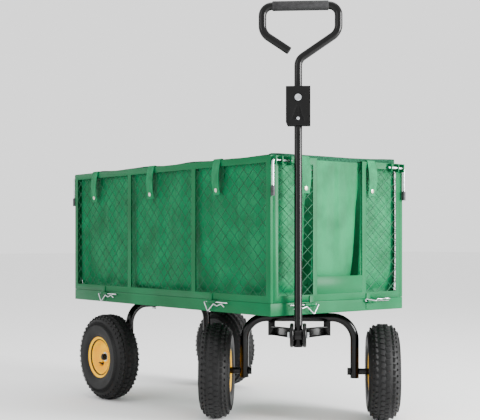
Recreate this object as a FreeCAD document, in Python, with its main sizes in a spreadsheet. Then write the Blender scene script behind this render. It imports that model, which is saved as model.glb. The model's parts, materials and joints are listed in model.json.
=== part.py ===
import FreeCAD, Part

import math
import os
import re

import Sketcher
from FreeCAD import Placement, Rotation, Vector

# Garden cart: a steel load bed with four mesh panels, a fabric liner, four pneumatic
# wheels, a steered front axle and a tow handle whose hand loop swings clear of its hitch.
# X points forward, Y to the left and Z up from the ground. Sizes are in millimetres.

doc = FreeCAD.newDocument("garden_cart")
sheet = doc.addObject("Spreadsheet::Sheet", "Sizes")

SIZES = [
    ("tray_length", 1220, "load bed, outside length"),
    ("tray_width", 610, "load bed, outside width"),
    ("tray_bottom", 380, "ground to the skirt's lower edge"),
    ("skirt_height", 40, "height of the skirt round the bed"),
    ("skirt_wall", 2.5, "steel of the skirt"),
    ("flange_width", 24, "inward flange on top of the skirt"),
    ("floor_sheet", 2, "expanded steel floor"),
    ("cross_width", 60, "cross member, along the cart"),
    ("cross_wall", 2, "cross member wall"),
    ("panel_seam", 0.8, "gap between the bed and a panel"),
    ("panel_height", 465, "height of a panel"),
    ("panel_depth", 12, "depth of a panel's angle section"),
    ("panel_wall", 1.5, "steel of a panel"),
    ("rail_height", 22, "face of the top and bottom rails"),
    ("side_upright", 22, "face of a side panel's uprights"),
    ("end_upright", 20, "face of an end panel's outer uprights"),
    ("inner_upright", 18, "face of an end panel's inner uprights"),
    ("inner_offset", 114, "middle of the cart to an inner upright"),
    ("side_divider", 203, "middle of the cart to a side panel's divider"),
    ("rib_wall", 3, "rib behind an upright's face"),
    ("end_play", 0.5, "side play of an end panel"),
    ("low_plate_height", 58, "plate that closes the front gap below"),
    ("mesh_wire", 2, "thickness of the mesh"),
    ("mesh_strand", 4, "width of a mesh strand"),
    ("mesh_long", 92, "diamond spacing along the panel"),
    ("mesh_tall", 80, "diamond spacing upwards"),
    ("hinge_height", 412, "ground to the hinge pins"),
    ("hinge_offset", 6.4, "skirt face to the hinge pins"),
    ("knuckle_across", 12, "outside of a hinge knuckle"),
    ("knuckle_bore", 4.2, "bore of a hinge knuckle"),
    ("tray_knuckle", 26, "length of a knuckle on the bed"),
    ("panel_knuckle", 18, "length of a knuckle on a panel"),
    ("leaf_wall", 3, "steel of a hinge leaf"),
    ("leaf_rise", 20, "leaf above the bed"),
    ("tab_wall", 2.5, "tab plate under a panel's knuckle, out from the skirt"),
    ("tab_rise", 6, "skirt's lower edge to a tab plate"),
    ("clip_wire", 4, "wire of a hinge clip"),
    ("clip_length", 114, "straight leg of a hinge clip"),
    ("side_clip", 400, "far end of a side clip from the middle"),
    ("end_clip", 114, "near end of an end clip from the middle"),
    ("clip_stand", 8.6, "wavy leg in front of the hinge pin"),
    ("clip_drop", 31, "depth of a clip's long bend"),
    ("latch_wire", 8, "round bar of a latch rod"),
    ("latch_height", 870, "ground to a latch rod"),
    ("latch_stand", 9, "panel face to a latch rod"),
    ("latch_reach", 226, "middle of the cart to a rod's inner tip"),
    ("latch_hang", 303, "middle of the cart to a rod's hanging leg"),
    ("latch_leg", 112, "length of a rod's hanging leg"),
    ("latch_bend", 6, "bend of a latch rod"),
    ("sleeve_across", 13, "outside of a latch sleeve"),
    ("sleeve_length", 31, "length of a latch sleeve"),
    ("eye_outer", 268, "middle of the cart to the outer latch eye"),
    ("eye_inner", 234, "middle of the cart to the inner latch eye"),
    ("eye_wall", 4, "thickness of a latch eye"),
    ("eye_width", 17, "latch eye, out from the panel"),
    ("eye_height", 28, "height of a latch eye"),
    ("eye_bore", 9, "bore of a latch eye"),
    ("ear_bore", 8.2, "bore of a side panel's latch ear"),
    ("liner_wall", 3, "thickness allowed for the liner"),
    ("liner_room", 4, "room between the liner and a panel"),
    ("liner_top", 891, "ground to the liner's hem"),
    ("slit_width", 16, "slit of the liner behind a front upright"),
    ("slit_base", 470, "ground to the foot of a slit"),
    ("strap_width", 45, "width of a liner strap"),
    ("strap_wall", 1.5, "thickness of a liner strap"),
    ("strap_hang", 116, "strap hanging outside a rail"),
    ("strap_bow", 8, "bow of the hanging strap"),
    ("strap_tail", 60, "strap inside a rail"),
    ("strap_middle", -55, "middle of the bed to the middle side strap"),
    ("strap_pitch", 393, "spacing of the side straps"),
    ("end_strap", 152, "middle of the cart to an end strap"),
    ("clip_raised", 80, "angle at which the raised front clip stands"),
    ("kingpin_x", 409, "middle of the bed to the kingpin"),
    ("kingpin_across", 16, "kingpin"),
    ("steer_rest", -43, "angle at which the front axle stands"),
    ("plate_side", 120, "turntable plates"),
    ("plate_wall", 6.5, "turntable plate thickness"),
    ("plate_gap", 0.3, "running gap of the turntable"),
    ("beam_across", 30, "round tube of the axle beams"),
    ("beam_wall", 2.5, "wall of the axle beams"),
    ("beam_width", 412, "axle beam over its legs"),
    ("beam_bend", 78, "bend of the axle beams, to the tube's middle"),
    ("beam_foot", 142, "ground to the foot of a beam's leg"),
    ("rear_axle", -378, "middle of the bed to the rear axle"),
    ("axle_bolt_span", 75, "middle of the cart to a rear axle bolt"),
    ("axle_bolt_across", 8, "rear axle bolts"),
    ("axle_bolt_hole", 8.4, "holes for the rear axle bolts"),
    ("wheel_radius", 165, "tyre radius"),
    ("tyre_width", 108, "tyre width"),
    ("rim_radius", 76, "rim flange radius"),
    ("rim_width", 88, "rim over its flanges"),
    ("well_radius", 64, "rim well radius"),
    ("rim_wall", 3, "steel of the rim"),
    ("hub_radius", 23, "hub tube radius"),
    ("hub_out", 18, "hub tube, outwards from the wheel's middle"),
    ("hub_in", 34, "hub tube, inwards from the wheel's middle"),
    ("bearing_across", 35, "bearing outside"),
    ("bearing_width", 11, "bearing width"),
    ("track_half", 287, "middle of the cart to a wheel"),
    ("spindle_across", 16, "wheel spindle"),
    ("spindle_nut", 24, "spindle and kingpin nuts, across flats"),
    ("spindle_nut_height", 10, "height of a spindle or kingpin nut"),
    ("spacer_across", 22, "spacer between a beam's leg and a hub"),
    ("seat_gap", 0.2, "gap under a head or nut"),
    ("running_fit", 0.05, "radial clearance of a running fit"),
    ("tongue_length", 330, "kingpin to the handle's pivot"),
    ("tongue_spread", 96, "middle of the axle to a tongue post"),
    ("tongue_height", 30, "height of a tongue arm"),
    ("tongue_width", 20, "width of a tongue arm"),
    ("tongue_low", 289, "ground to a tongue arm at the axle"),
    ("pivot_height", 320, "ground to the handle's pivot"),
    ("cheek_radius", 38, "radius of a clevis cheek"),
    ("cheek_wall", 12, "thickness of a clevis cheek"),
    ("foot_width", 27.4, "handle foot between the cheeks"),
    ("foot_play", 0.3, "side play of the handle foot"),
    ("clevis_bolt_across", 12, "clevis and bracket bolts"),
    ("clevis_nut", 19, "clevis bolt's nut, across flats"),
    ("bolt_clearance", 0.1, "diametral clearance of a bolt"),
    ("tube_across", 25, "handle tube"),
    ("tube_wall", 1.5, "wall of the handle tube"),
    ("bracket_low", 978, "ground to the hitch bracket"),
    ("bracket_height", 124, "height of the hitch bracket"),
    ("bracket_width", 77, "width of the hitch bracket"),
    ("bracket_wall", 3, "steel of the hitch bracket"),
    ("bracket_play", 0.3, "play between bracket and tube"),
    ("lock_bolt_rise", 22, "bracket's lower edge to its small bolt"),
    ("lock_bolt_across", 6, "small bolt of the bracket"),
    ("swing_height", 1066, "ground to the hand loop's pivot"),
    ("stem_tail", 25, "stem below the hand loop's pivot"),
    ("neck_height", 1186, "ground to the bend above the stem"),
    ("neck_bend", 35, "bend above the stem"),
    ("grip_height", 1356, "ground to the middle of the grip"),
    ("loop_width", 239, "hand loop between its sides"),
    ("loop_shift", 7, "hand loop off the stem's line"),
    ("leg_slope", 34, "slope of the hand loop's legs"),
    ("loop_bend", 44, "bend of the hand loop's lower corners"),
    ("grip_bend", 31, "bend of the hand loop's upper corners"),
    ("hook_gap", 28, "stem's line to the free end of the loop"),
    ("grip_across", 31, "outside of the grip"),
    ("grip_length", 176, "length of the grip"),
]

for row, (alias, value, note) in enumerate(SIZES, 1):
    sheet.set(f"A{row}", str(value))
    sheet.setAlias(f"A{row}", alias)
    sheet.set(f"B{row}", note)
doc.recompute()


class Values:
    """The sheet's sizes as plain numbers."""


S = Values()
for alias, _, _ in SIZES:
    setattr(S, alias, float(getattr(sheet, alias)))

X, Y, Z = Vector(1, 0, 0), Vector(0, 1, 0), Vector(0, 0, 1)
parts = []


# ---------------------------------------------------------------- places

def front_reach():
    """How far the steered front wheels stand ahead of the middle of the bed."""
    turned = math.radians(abs(S.steer_rest))
    out = S.track_half + S.tyre_width / 2
    return S.kingpin_x + out * math.sin(turned) + S.wheel_radius * math.cos(turned)


# The origin is on the ground, under the middle of the whole cart.
SHIFT = -(front_reach() - S.tray_length / 2 - S.latch_stand - S.latch_wire / 2) / 2
CART = Placement(Vector(SHIFT, 0, 0), Rotation())
STEER = Placement(Vector(SHIFT + S.kingpin_x, 0, 0), Rotation(Z, S.steer_rest))

TRAY_TOP = S.tray_bottom + S.skirt_height
PANEL_LOW = TRAY_TOP + S.panel_seam
HALF_LENGTH = S.tray_length / 2
HALF_WIDTH = S.tray_width / 2
END_HALF = HALF_WIDTH - S.panel_depth - S.end_play
BEAM_TOP = S.tray_bottom - 2 * S.plate_wall - S.plate_gap - 0.2
BEAM_MID = BEAM_TOP - S.beam_across / 2
REAR_MID = S.tray_bottom - S.beam_across / 2
LEG = (S.beam_width - S.beam_across) / 2


# ---------------------------------------------------------------- helpers

def bound(kind, name, at=Vector(), turn=Rotation(), **formulas):
    """A document object whose sizes follow formulas in the sheet's names."""
    item = doc.addObject(kind, name)
    for prop, formula in formulas.items():
        item.setExpression(prop, re.sub(r"[a-z_]{4,}", lambda word: "Sizes." + word.group(), formula))
    item.Placement = Placement(at, turn)
    return item


def cut(name, base, *tools):
    """Base less the tools, as a document boolean."""
    tool = tools[0]
    if len(tools) > 1:
        tool = doc.addObject("Part::MultiFuse", name + "_tools")
        tool.Shapes = list(tools)
    item = doc.addObject("Part::Cut", name)
    item.Base, item.Tool = base, tool
    return item


def fuse(name, *items):
    """The items joined, as a document boolean."""
    item = doc.addObject("Part::MultiFuse", name)
    item.Shapes = list(items)
    return item


def feature(name, shape):
    """A sub-part whose shape is made with Part's own functions."""
    item = doc.addObject("Part::Feature", name)
    item.Shape = shape
    return item


def keep(item, label, place=CART):
    """Mark an object as a finished sub-part and set it in its place."""
    item.Label = label
    item.Placement = place.multiply(item.Placement)
    parts.append(item)
    return item


def block(x0, x1, y0, y1, z0, z1):
    """A plain block between two corners."""
    return Part.makeBox(x1 - x0, y1 - y0, z1 - z0, Vector(x0, y0, z0))


def rod(across, length, at, axis):
    """A round bar from a point along an axis."""
    return Part.makeCylinder(across / 2, length, at, axis)


def hexagon(flats, length, at, axis):
    """A hexagon nut or head from a point along an axis."""
    radius = flats / math.sqrt(3)
    turn = Rotation(Z, axis)
    corners = [Vector(radius * math.cos(math.radians(60 * n)), radius * math.sin(math.radians(60 * n)), 0)
               for n in range(7)]
    face = Part.Face(Part.makePolygon(corners))
    solid = face.extrude(Vector(0, 0, length))
    solid.Placement = Placement(at, turn)
    return Part.makeCompound([solid]).Solids[0]


def rounded_path(points, radii):
    """Straight runs joined by tangent arcs, one radius for each inner point."""
    edges, start = [], points[0]
    for before, corner, after, radius in zip(points, points[1:], points[2:], radii):
        into, out = (corner - before).normalize(), (after - corner).normalize()
        turn = into.getAngle(out)
        back = radius * math.tan(turn / 2)
        first, last = corner - into * back, corner + out * back
        inward = (out - into).normalize()
        middle = corner + inward * (radius / math.cos(turn / 2) - radius)
        edges.append(Part.LineSegment(start, first).toShape())
        edges.append(Part.Arc(first, middle, last).toShape())
        start = last
    edges.append(Part.LineSegment(start, points[-1]).toShape())
    return Part.Wire(edges)


def tube(points, radii, across, wall=0):
    """A bent round bar, or a bent tube where it has a wall."""
    path = rounded_path(points, radii)
    axis = (points[1] - points[0]).normalize()

    def swept(radius):
        circle = Part.Wire(Part.makeCircle(radius, points[0], axis))
        return path.makePipeShell([circle], True, False)

    solid = swept(across / 2)
    return solid.cut(swept(across / 2 - wall)) if wall else solid


def ribbon(points, wall, width, along):
    """A strip that follows a line of points and is as wide as given, centred on the line."""
    normals = []
    for before, after in zip(points, points[1:]):
        normals.append((after - before).cross(along).normalize())
    offsets = [normals[0]]
    for one, two in zip(normals, normals[1:]):
        middle = (one + two).normalize()
        offsets.append(middle * (1 / middle.dot(one)))
    offsets.append(normals[-1])
    near = [p - n * (wall / 2) - along * (width / 2) for p, n in zip(points, offsets)]
    far = [p + n * (wall / 2) - along * (width / 2) for p, n in zip(points, offsets)]
    face = Part.Face(Part.makePolygon(near + far[::-1] + near[:1]))
    return face.extrude(along * width)


def sketch(body, role, loops, name):
    """A sketch of closed loops of straight lines whose corners follow formulas."""
    item = body.newObject("Sketcher::SketchObject", name)
    plane = [f for f in body.Origin.OriginFeatures if f.Role == role][0]
    item.AttachmentSupport = (plane, [""])
    item.MapMode = "FlatFace"
    for corners in loops:
        first = item.GeometryCount
        points = [Vector(n, n * n + 1, 0) for n in range(len(corners))]
        for n, point in enumerate(points):
            item.addGeometry(Part.LineSegment(point, points[(n + 1) % len(points)]))
        for n in range(len(corners)):
            following = first + (n + 1) % len(corners)
            item.addConstraint(Sketcher.Constraint("Coincident", first + n, 2, following, 1))
        for n, (across, up) in enumerate(corners):
            for kind, formula, value in (("DistanceX", across, n), ("DistanceY", up, n * n + 1)):
                index = item.addConstraint(Sketcher.Constraint(kind, -1, 1, first + n, 1, float(value)))
                text = re.sub(r"[a-z_]{4,}", lambda word: "Sizes." + word.group(), formula)
                item.setExpression(f"Constraints[{index}]", text)
    return item


# ---------------------------------------------------------------- load bed

def knuckle(length, offset, web):
    """A hinge knuckle along X with its web, its pin on the X axis at the origin."""
    barrel = rod(S.knuckle_across, length, Vector(offset, 0, 0), X)
    hole = rod(S.knuckle_bore, length + 2, Vector(offset - 1, 0, 0), X)
    return barrel.fuse(web).cut(hole)


def tray_knuckle(start):
    """A knuckle welded to the skirt, the skirt's face lying behind it in +Y."""
    web = block(start, start + S.tray_knuckle, 0, S.hinge_offset + 0.2, -4, 3)
    return knuckle(S.tray_knuckle, start, web)


def hinge_places():
    """Each hinge clip: the place of its bend, its turn about Z and which way its leg runs."""
    side, end = S.side_clip, S.end_clip
    out_y, out_x, up = HALF_WIDTH + S.hinge_offset, HALF_LENGTH + S.hinge_offset, S.hinge_height
    return {
        "right_rear": (Vector(-side, -out_y, up), 0, 1),
        "right_front": (Vector(side - S.clip_length, -out_y, up), 0, 1),
        "left_rear": (Vector(-side, out_y, up), 180, -1),
        "left_front": (Vector(side - S.clip_length, out_y, up), 180, -1),
        "front_right": (Vector(out_x, -end, up), 90, -1),
        "front_left": (Vector(out_x, end, up), 90, 1),
        "rear_right": (Vector(-out_x, -end, up), -90, 1),
        "rear_left": (Vector(-out_x, end, up), -90, -1),
    }


def set_out(shape, hinge):
    """A shape with its pin at the origin, put at a hinge."""
    at, angle, way = hinge
    copy = shape if way > 0 else shape.mirror(Vector(), X)
    copy = copy.copy()
    copy.transformShape(Placement(at, Rotation(Z, angle)).toMatrix())
    return copy


HINGES = hinge_places()
PANEL_KNUCKLE_AT = 8
TRAY_KNUCKLE_AT = PANEL_KNUCKLE_AT + S.panel_knuckle + 0.5


def tray_frame():
    """The bed's skirt: a wall with an inward flange, hinge knuckles and tab plates."""
    wall, brim = S.skirt_wall, S.flange_width
    outer = bound("Part::Box", "skirt_outer", Vector(-HALF_LENGTH, -HALF_WIDTH, S.tray_bottom),
                  Length="tray_length", Width="tray_width", Height="skirt_height")
    inner = bound("Part::Box", "skirt_inside",
                  Vector(-HALF_LENGTH + wall, -HALF_WIDTH + wall, S.tray_bottom - wall),
                  Length="tray_length - 2 * skirt_wall", Width="tray_width - 2 * skirt_wall",
                  Height="skirt_height")
    mouth = bound("Part::Box", "skirt_mouth", Vector(-HALF_LENGTH + brim, -HALF_WIDTH + brim, S.tray_bottom),
                  Length="tray_length - 2 * flange_width", Width="tray_width - 2 * flange_width",
                  Height="skirt_height + skirt_wall")
    ring = cut("skirt_ring", outer, inner, mouth)
    pieces = []
    for hinge in HINGES.values():
        pieces.append(set_out(tray_knuckle(TRAY_KNUCKLE_AT), hinge))
        tab = block(PANEL_KNUCKLE_AT, PANEL_KNUCKLE_AT + S.panel_knuckle,
                    S.hinge_offset - S.tab_wall, S.hinge_offset + S.skirt_wall / 5,
                    S.tray_bottom + S.tab_rise - S.hinge_height, -S.knuckle_across / 2 - 1)
        pieces.append(set_out(tab, hinge))
    return keep(fuse("tray_frame", ring, feature("knuckles", Part.makeCompound(pieces))), "tray_frame")


def diamonds(width, height):
    """Whole diamond openings on a lattice, inside a rectangle centred on X."""
    long, tall = S.mesh_long, S.mesh_tall
    half_x, half_z = (long - S.mesh_strand * 2) / 2, (tall - S.mesh_strand * 2) / 2
    wires = []
    for column in range(-int(width / long) - 1, int(width / long) + 2):
        for line in range(0, 2 * int(height / tall) + 3):
            if (column + line) % 2:
                continue
            x, z = column * long / 2, line * tall / 2
            if abs(x) + half_x > width / 2 - 2 or z - half_z < 2 or z + half_z > height - 2:
                continue
            corners = [Vector(x - half_x, 0, z), Vector(x, 0, z + half_z), Vector(x + half_x, 0, z),
                       Vector(x, 0, z - half_z), Vector(x - half_x, 0, z)]
            wires.append(Part.makePolygon(corners))
    return wires


def mesh_sheet(x0, x1, z0, z1, y):
    """A sheet of diamond mesh between two corners, its front at y."""
    middle, width = (x0 + x1) / 2, x1 - x0
    outline = Part.makePolygon([Vector(-width / 2, 0, 0), Vector(width / 2, 0, 0),
                                Vector(width / 2, 0, z1 - z0), Vector(-width / 2, 0, z1 - z0),
                                Vector(-width / 2, 0, 0)])
    face = Part.Face([outline] + diamonds(width, z1 - z0))
    solid = face.extrude(Vector(0, S.mesh_wire, 0))
    solid.translate(Vector(middle, y, z0))
    return solid


def tray_floor():
    """The expanded steel floor under the flange."""
    half_x, half_y = HALF_LENGTH - S.skirt_wall - 0.2, HALF_WIDTH - S.skirt_wall - 0.2
    flat = mesh_sheet(-half_x, half_x, -half_y, half_y, 0)
    flat.rotate(Vector(), X, -90)
    flat.translate(Vector(0, 0, TRAY_TOP - S.skirt_wall))
    return keep(feature("tray_floor", flat), "tray_floor")


CROSS_HEIGHT = S.skirt_height - S.skirt_wall - S.mesh_wire


def cross_members():
    """Three rectangular tubes across the bed, with holes for the kingpin and the axle bolts."""
    tubes = []
    for number, x in enumerate((S.kingpin_x, 0, S.rear_axle)):
        half, wall = HALF_WIDTH - S.skirt_wall - 0.2, S.cross_wall
        outer = block(x - S.cross_width / 2, x + S.cross_width / 2, -half, half, S.tray_bottom,
                      S.tray_bottom + CROSS_HEIGHT)
        inner = block(x - S.cross_width / 2 + wall, x + S.cross_width / 2 - wall, -half - 1, half + 1,
                      S.tray_bottom + wall, S.tray_bottom + CROSS_HEIGHT - wall)
        bar = outer.cut(inner)
        if number == 0:
            bar = bar.cut(rod(S.kingpin_across + 2, 10, Vector(x, 0, S.tray_bottom - 2), Z))
        if x == S.rear_axle:
            for side in (-1, 1):
                at = Vector(x, side * S.axle_bolt_span, S.tray_bottom - 2)
                bar = bar.cut(rod(S.axle_bolt_hole, 10, at, Z))
        tubes.append(bar)
    return keep(feature("cross_members", Part.makeCompound(tubes)), "cross_members")


def turntable_plate(label, low, place):
    """A square turntable plate with a bore for the kingpin."""
    body = doc.addObject("PartDesign::Body", label + "_body")
    low_side, high_side = "-plate_side / 2", "plate_side / 2"
    corners = [(low_side, low_side), (high_side, low_side), (high_side, high_side), (low_side, high_side)]
    square = sketch(body, "XY_Plane", [corners], label + "_square")
    pad = body.newObject("PartDesign::Pad", label + "_pad")
    pad.Profile = square
    pad.setExpression("Length", "Sizes.plate_wall")
    doc.recompute()
    drill = bound("Part::Cylinder", label + "_drill", Vector(0, 0, -1),
                  Radius="kingpin_across / 2 + running_fit", Height="plate_wall + 2")
    plate = cut(label, body, drill)
    return keep(plate, label, place.multiply(Placement(Vector(0, 0, low), Rotation())))


def beam(mid):
    """A bent tube axle beam: two legs down from a top bar, bored for the spindles."""
    points = [Vector(0, LEG, S.beam_foot), Vector(0, LEG, mid), Vector(0, -LEG, mid),
              Vector(0, -LEG, S.beam_foot)]
    solid = tube(points, [S.beam_bend, S.beam_bend], S.beam_across, S.beam_wall)
    return solid.cut(rod(S.spindle_across + 2 * S.running_fit, S.beam_width + 20,
                         Vector(0, -S.beam_width / 2 - 10, S.wheel_radius), Y))


def rear_axle():
    """The rear axle beam with its two bolts up into the cross member."""
    place = CART.multiply(Placement(Vector(S.rear_axle, 0, 0), Rotation()))
    solid = beam(REAR_MID)
    bolts = []
    for side in (-1, 1):
        across, head = S.axle_bolt_across, 1.75 * S.axle_bolt_across
        at = Vector(0, side * S.axle_bolt_span, REAR_MID - S.beam_across / 2 - S.seat_gap)
        solid = solid.cut(rod(S.axle_bolt_hole, 2 * S.beam_across, at - Z * 10, Z))
        bolt = rod(across, S.beam_across + 2 * across, at, Z).fuse(hexagon(head, across, at - Z * across, Z))
        nut = hexagon(head, across - 1, Vector(0, side * S.axle_bolt_span, S.tray_bottom + S.cross_wall), Z)
        bolts.append(bolt.fuse(nut))
    keep(feature("rear_axle_beam", solid), "rear_axle_beam", place)
    keep(feature("rear_axle_bolts", Part.makeCompound(bolts)), "rear_axle_bolts", place)


HUB_IN = S.track_half - S.hub_in
HUB_OUT = S.track_half + S.hub_out


def spindles(end, place):
    """Two wheel spindles through a beam's legs, and their spacers and nuts."""
    bars, fittings = [], []
    inside, outside = LEG - S.beam_across / 2, LEG + S.beam_across / 2
    for side in (-1, 1):
        axis = Y * side
        start = Vector(0, side * (inside - S.seat_gap), S.wheel_radius)
        thick = S.spindle_nut_height
        bar = rod(S.spindle_across, HUB_OUT + thick + 4 - inside, start, axis)
        bars.append(bar.fuse(hexagon(S.spindle_nut, thick, start - axis * thick, axis)))
        spacer = rod(S.spacer_across, HUB_IN - outside - 2 * S.seat_gap,
                     Vector(0, side * (outside + S.seat_gap), S.wheel_radius), axis)
        nut = hexagon(S.spindle_nut, thick, Vector(0, side * (HUB_OUT + S.seat_gap), S.wheel_radius), axis)
        hole = rod(S.spindle_across + 0.04, S.beam_width / 2, start, axis)
        fittings += [spacer.cut(hole), nut.cut(hole)]
    keep(feature(end + "_spindles", Part.makeCompound(bars)), end + "_spindles", place)
    keep(feature(end + "_axle_nuts", Part.makeCompound(fittings)), end + "_axle_nuts", place)


# ---------------------------------------------------------------- wheels

def rim(label):
    """A steel rim: hub tube, web and drop-centre well, turned about the wheel's axle."""
    body = doc.addObject("PartDesign::Body", label + "_body")
    half = [("hub_radius", "rim_wall / 2"), ("well_radius - rim_wall", "rim_wall / 2"),
            ("well_radius - rim_wall", "rim_width / 2"),
            ("rim_radius", "rim_width / 2"), ("rim_radius", "rim_width / 2 - rim_wall"),
            ("well_radius", "rim_width / 2 - rim_wall")]
    outer_hub = [("bearing_across / 2", "hub_out"), ("hub_radius", "hub_out")]
    inner_hub = [("hub_radius", "-hub_in"), ("bearing_across / 2", "-hub_in")]
    corners = outer_hub + half + [(across, "-(" + up + ")") for across, up in half[::-1]] + inner_hub
    outline = sketch(body, "XY_Plane", [corners], label + "_section")
    turned = body.newObject("PartDesign::Revolution", label + "_turned")
    turned.Profile = outline
    turned.ReferenceAxis = (outline, ["V_Axis"])
    turned.Angle = 360
    doc.recompute()
    return body


def tyre():
    """A pneumatic tyre's casing, seated in the rim's well."""
    r, edge = S.well_radius + 0.1, S.rim_width / 2 - S.rim_wall - 0.1
    out, top, half = S.rim_radius + 1, S.wheel_radius, S.tyre_width / 2
    middle = (out + top) / 2

    def side(sign):
        return [Vector(r, sign * edge, 0), Vector(out, sign * edge, 0), Vector(out + 8, sign * (edge + 6), 0),
                Vector(middle, sign * half, 0), Vector(middle + 24, sign * (half - 5), 0),
                Vector(top - 7, sign * half * 0.5, 0), Vector(top, 0, 0)]

    edges = [Part.LineSegment(side(-1)[0], side(1)[0]).toShape()]
    for sign in (1, -1):
        p = side(sign)
        run = [Part.LineSegment(p[0], p[1]).toShape(), Part.LineSegment(p[1], p[2]).toShape(),
               Part.Arc(p[2], p[3], p[4]).toShape(), Part.Arc(p[4], p[5], p[6]).toShape()]
        edges += run
    face = Part.Face(Part.Wire(Part.sortEdges(edges)[0]))
    return face.revolve(Vector(), Y, 360)


def wheel(name, place):
    """One wheel: tyre, rim and its two bearings, about an axle along Y."""
    keep(feature("tyre_" + name, tyre()), "tyre_" + name, place)
    keep(rim("rim_" + name), "rim_" + name, place)
    rings = []
    for side, reach in ((-1, S.hub_in), (1, S.hub_out)):
        start = Vector(0, side * (reach - S.bearing_width), 0)
        ring = rod(S.bearing_across, S.bearing_width, start, Y * side)
        rings.append(ring.cut(rod(S.spindle_across + 2 * S.running_fit, S.bearing_width, start, Y * side)))
    keep(feature("bearings_" + name, Part.makeCompound(rings)), "bearings_" + name, place)


# ---------------------------------------------------------------- panels

LATCH_UP = S.latch_height - PANEL_LOW


def panel_leaf():
    """A hinge leaf on a panel's outer face with its knuckle, the pin at the origin."""
    leaf = block(0, S.panel_knuckle, S.hinge_offset - S.leaf_wall, S.hinge_offset, PANEL_LOW - S.hinge_height,
                 TRAY_TOP + S.leaf_rise - S.hinge_height)
    neck = block(0, S.panel_knuckle, S.hinge_offset - S.leaf_wall - 0.3, S.hinge_offset - 0.3, 0,
                 TRAY_TOP + S.leaf_rise - S.hinge_height)
    barrel = rod(S.knuckle_across, S.panel_knuckle, Vector(), X).fuse(neck).fuse(leaf)
    barrel = barrel.cut(rod(S.knuckle_bore, S.panel_knuckle + 2, Vector(-1, 0, 0), X))
    barrel.translate(Vector(PANEL_KNUCKLE_AT, 0, 0))
    return barrel


def panel_frame(label, length, end, inner, offset, hinges, extras, open_top=False):
    """A panel of folded angle: a faced frame with three windows and ribbed uprights.

    Its outer face is on the XZ plane, its inside towards +Y.
    """
    long, wall = S.tray_length if length == "tray_length" else 2 * END_HALF, S.panel_wall
    outer = bound("Part::Box", label + "_outer", Vector(-long / 2, 0, 0), Length=length, Width="panel_depth",
                  Height="panel_height")
    recess = bound("Part::Box", label + "_recess", Vector(-long / 2 + wall, wall, wall),
                   Length=length + " - 2 * panel_wall", Width="panel_depth",
                   Height="panel_height - 2 * panel_wall")
    windows = []
    bays = [(-long / 2 + end, -offset - inner / 2), (-offset + inner / 2, offset - inner / 2),
            (offset + inner / 2, long / 2 - end)]
    for number, (x0, x1) in enumerate(bays):
        hole = bound("Part::Box", f"{label}_window_{number}", Vector(x0, -1, S.rail_height),
                     Width="panel_depth", Height="panel_height - 2 * rail_height")
        hole.Length = x1 - x0
        windows.append(hole)
    if open_top:
        gap = bound("Part::Box", label + "_gap", Vector(bays[1][0], -1, S.rail_height),
                    Width="panel_depth + 2", Height="panel_height")
        gap.Length = bays[1][1] - bays[1][0]
        windows.append(gap)
    shell = cut(label + "_shell", outer, recess, *windows)
    ribs = [bound("Part::Box", f"{label}_rib_{number}", Vector(x - S.rib_wall / 2, wall, wall),
                  Length="rib_wall", Width="panel_depth - panel_wall", Height="panel_height - 2 * panel_wall")
            for number, x in enumerate((-offset, offset))]
    return fuse(label, shell, *ribs, feature(label + "_fittings", Part.makeCompound(extras)))


def panel_mesh(long, offset, skip_middle=False):
    """The mesh sheets behind a panel's windows."""
    edge, rib = S.panel_wall + 0.3, S.rib_wall / 2 + 0.3
    spans = [(-long / 2 + edge, -offset - rib), (-offset + rib, offset - rib),
             (offset + rib, long / 2 - edge)]
    if skip_middle:
        spans = [spans[0], spans[2]]
    return Part.makeCompound([mesh_sheet(x0, x1, edge, S.panel_height - edge, S.panel_wall)
                              for x0, x1 in spans])


def strap(x):
    """A liner strap over a top rail, its snapped end hanging outside."""
    top, half, hang, bow = S.panel_height, S.strap_wall / 2, S.strap_hang, S.strap_bow
    out, back, over = -half - 0.35, S.panel_depth + half + 0.5, top + half + 0.35
    points = [Vector(x, out - 1, top - hang), Vector(x, out - bow * 0.8, top - hang * 0.75),
              Vector(x, out - bow, top - hang * 0.5), Vector(x, out - bow * 0.6, top - hang * 0.25),
              Vector(x, out, top - 6), Vector(x, out, over), Vector(x, back, over),
              Vector(x, back, top - S.strap_tail)]
    return ribbon(points, S.strap_wall, S.strap_width, X)


def eye(x):
    """A latch eye on the outer face of an end panel."""
    plate = block(x - S.eye_wall / 2, x + S.eye_wall / 2, -S.eye_width, S.panel_wall / 2,
                  LATCH_UP - S.eye_height / 2, LATCH_UP + S.eye_height / 2)
    return plate.cut(rod(S.eye_bore, 20, Vector(x - 10, -S.latch_stand, LATCH_UP), X))


def ear(end):
    """A latch ear standing out from a side panel's end."""
    x0, x1 = sorted((end * (HALF_LENGTH - 1), end * (HALF_LENGTH + S.eye_width)))
    plate = block(x0, x1, S.panel_depth - 4, S.panel_depth - 0.5, LATCH_UP - S.eye_height / 2,
                  LATCH_UP + S.eye_height / 2)
    return plate.cut(rod(S.ear_bore, 20, Vector(end * (HALF_LENGTH + S.latch_stand), 0, LATCH_UP), Y))


def leaves(names, place):
    """The hinge leaves of a panel, in the panel's own drawing frame."""
    back = place.inverse().toMatrix()
    shapes = []
    for name in names:
        leaf = set_out(panel_leaf(), HINGES[name])
        leaf.transformShape(back)
        shapes.append(leaf)
    return shapes


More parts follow.
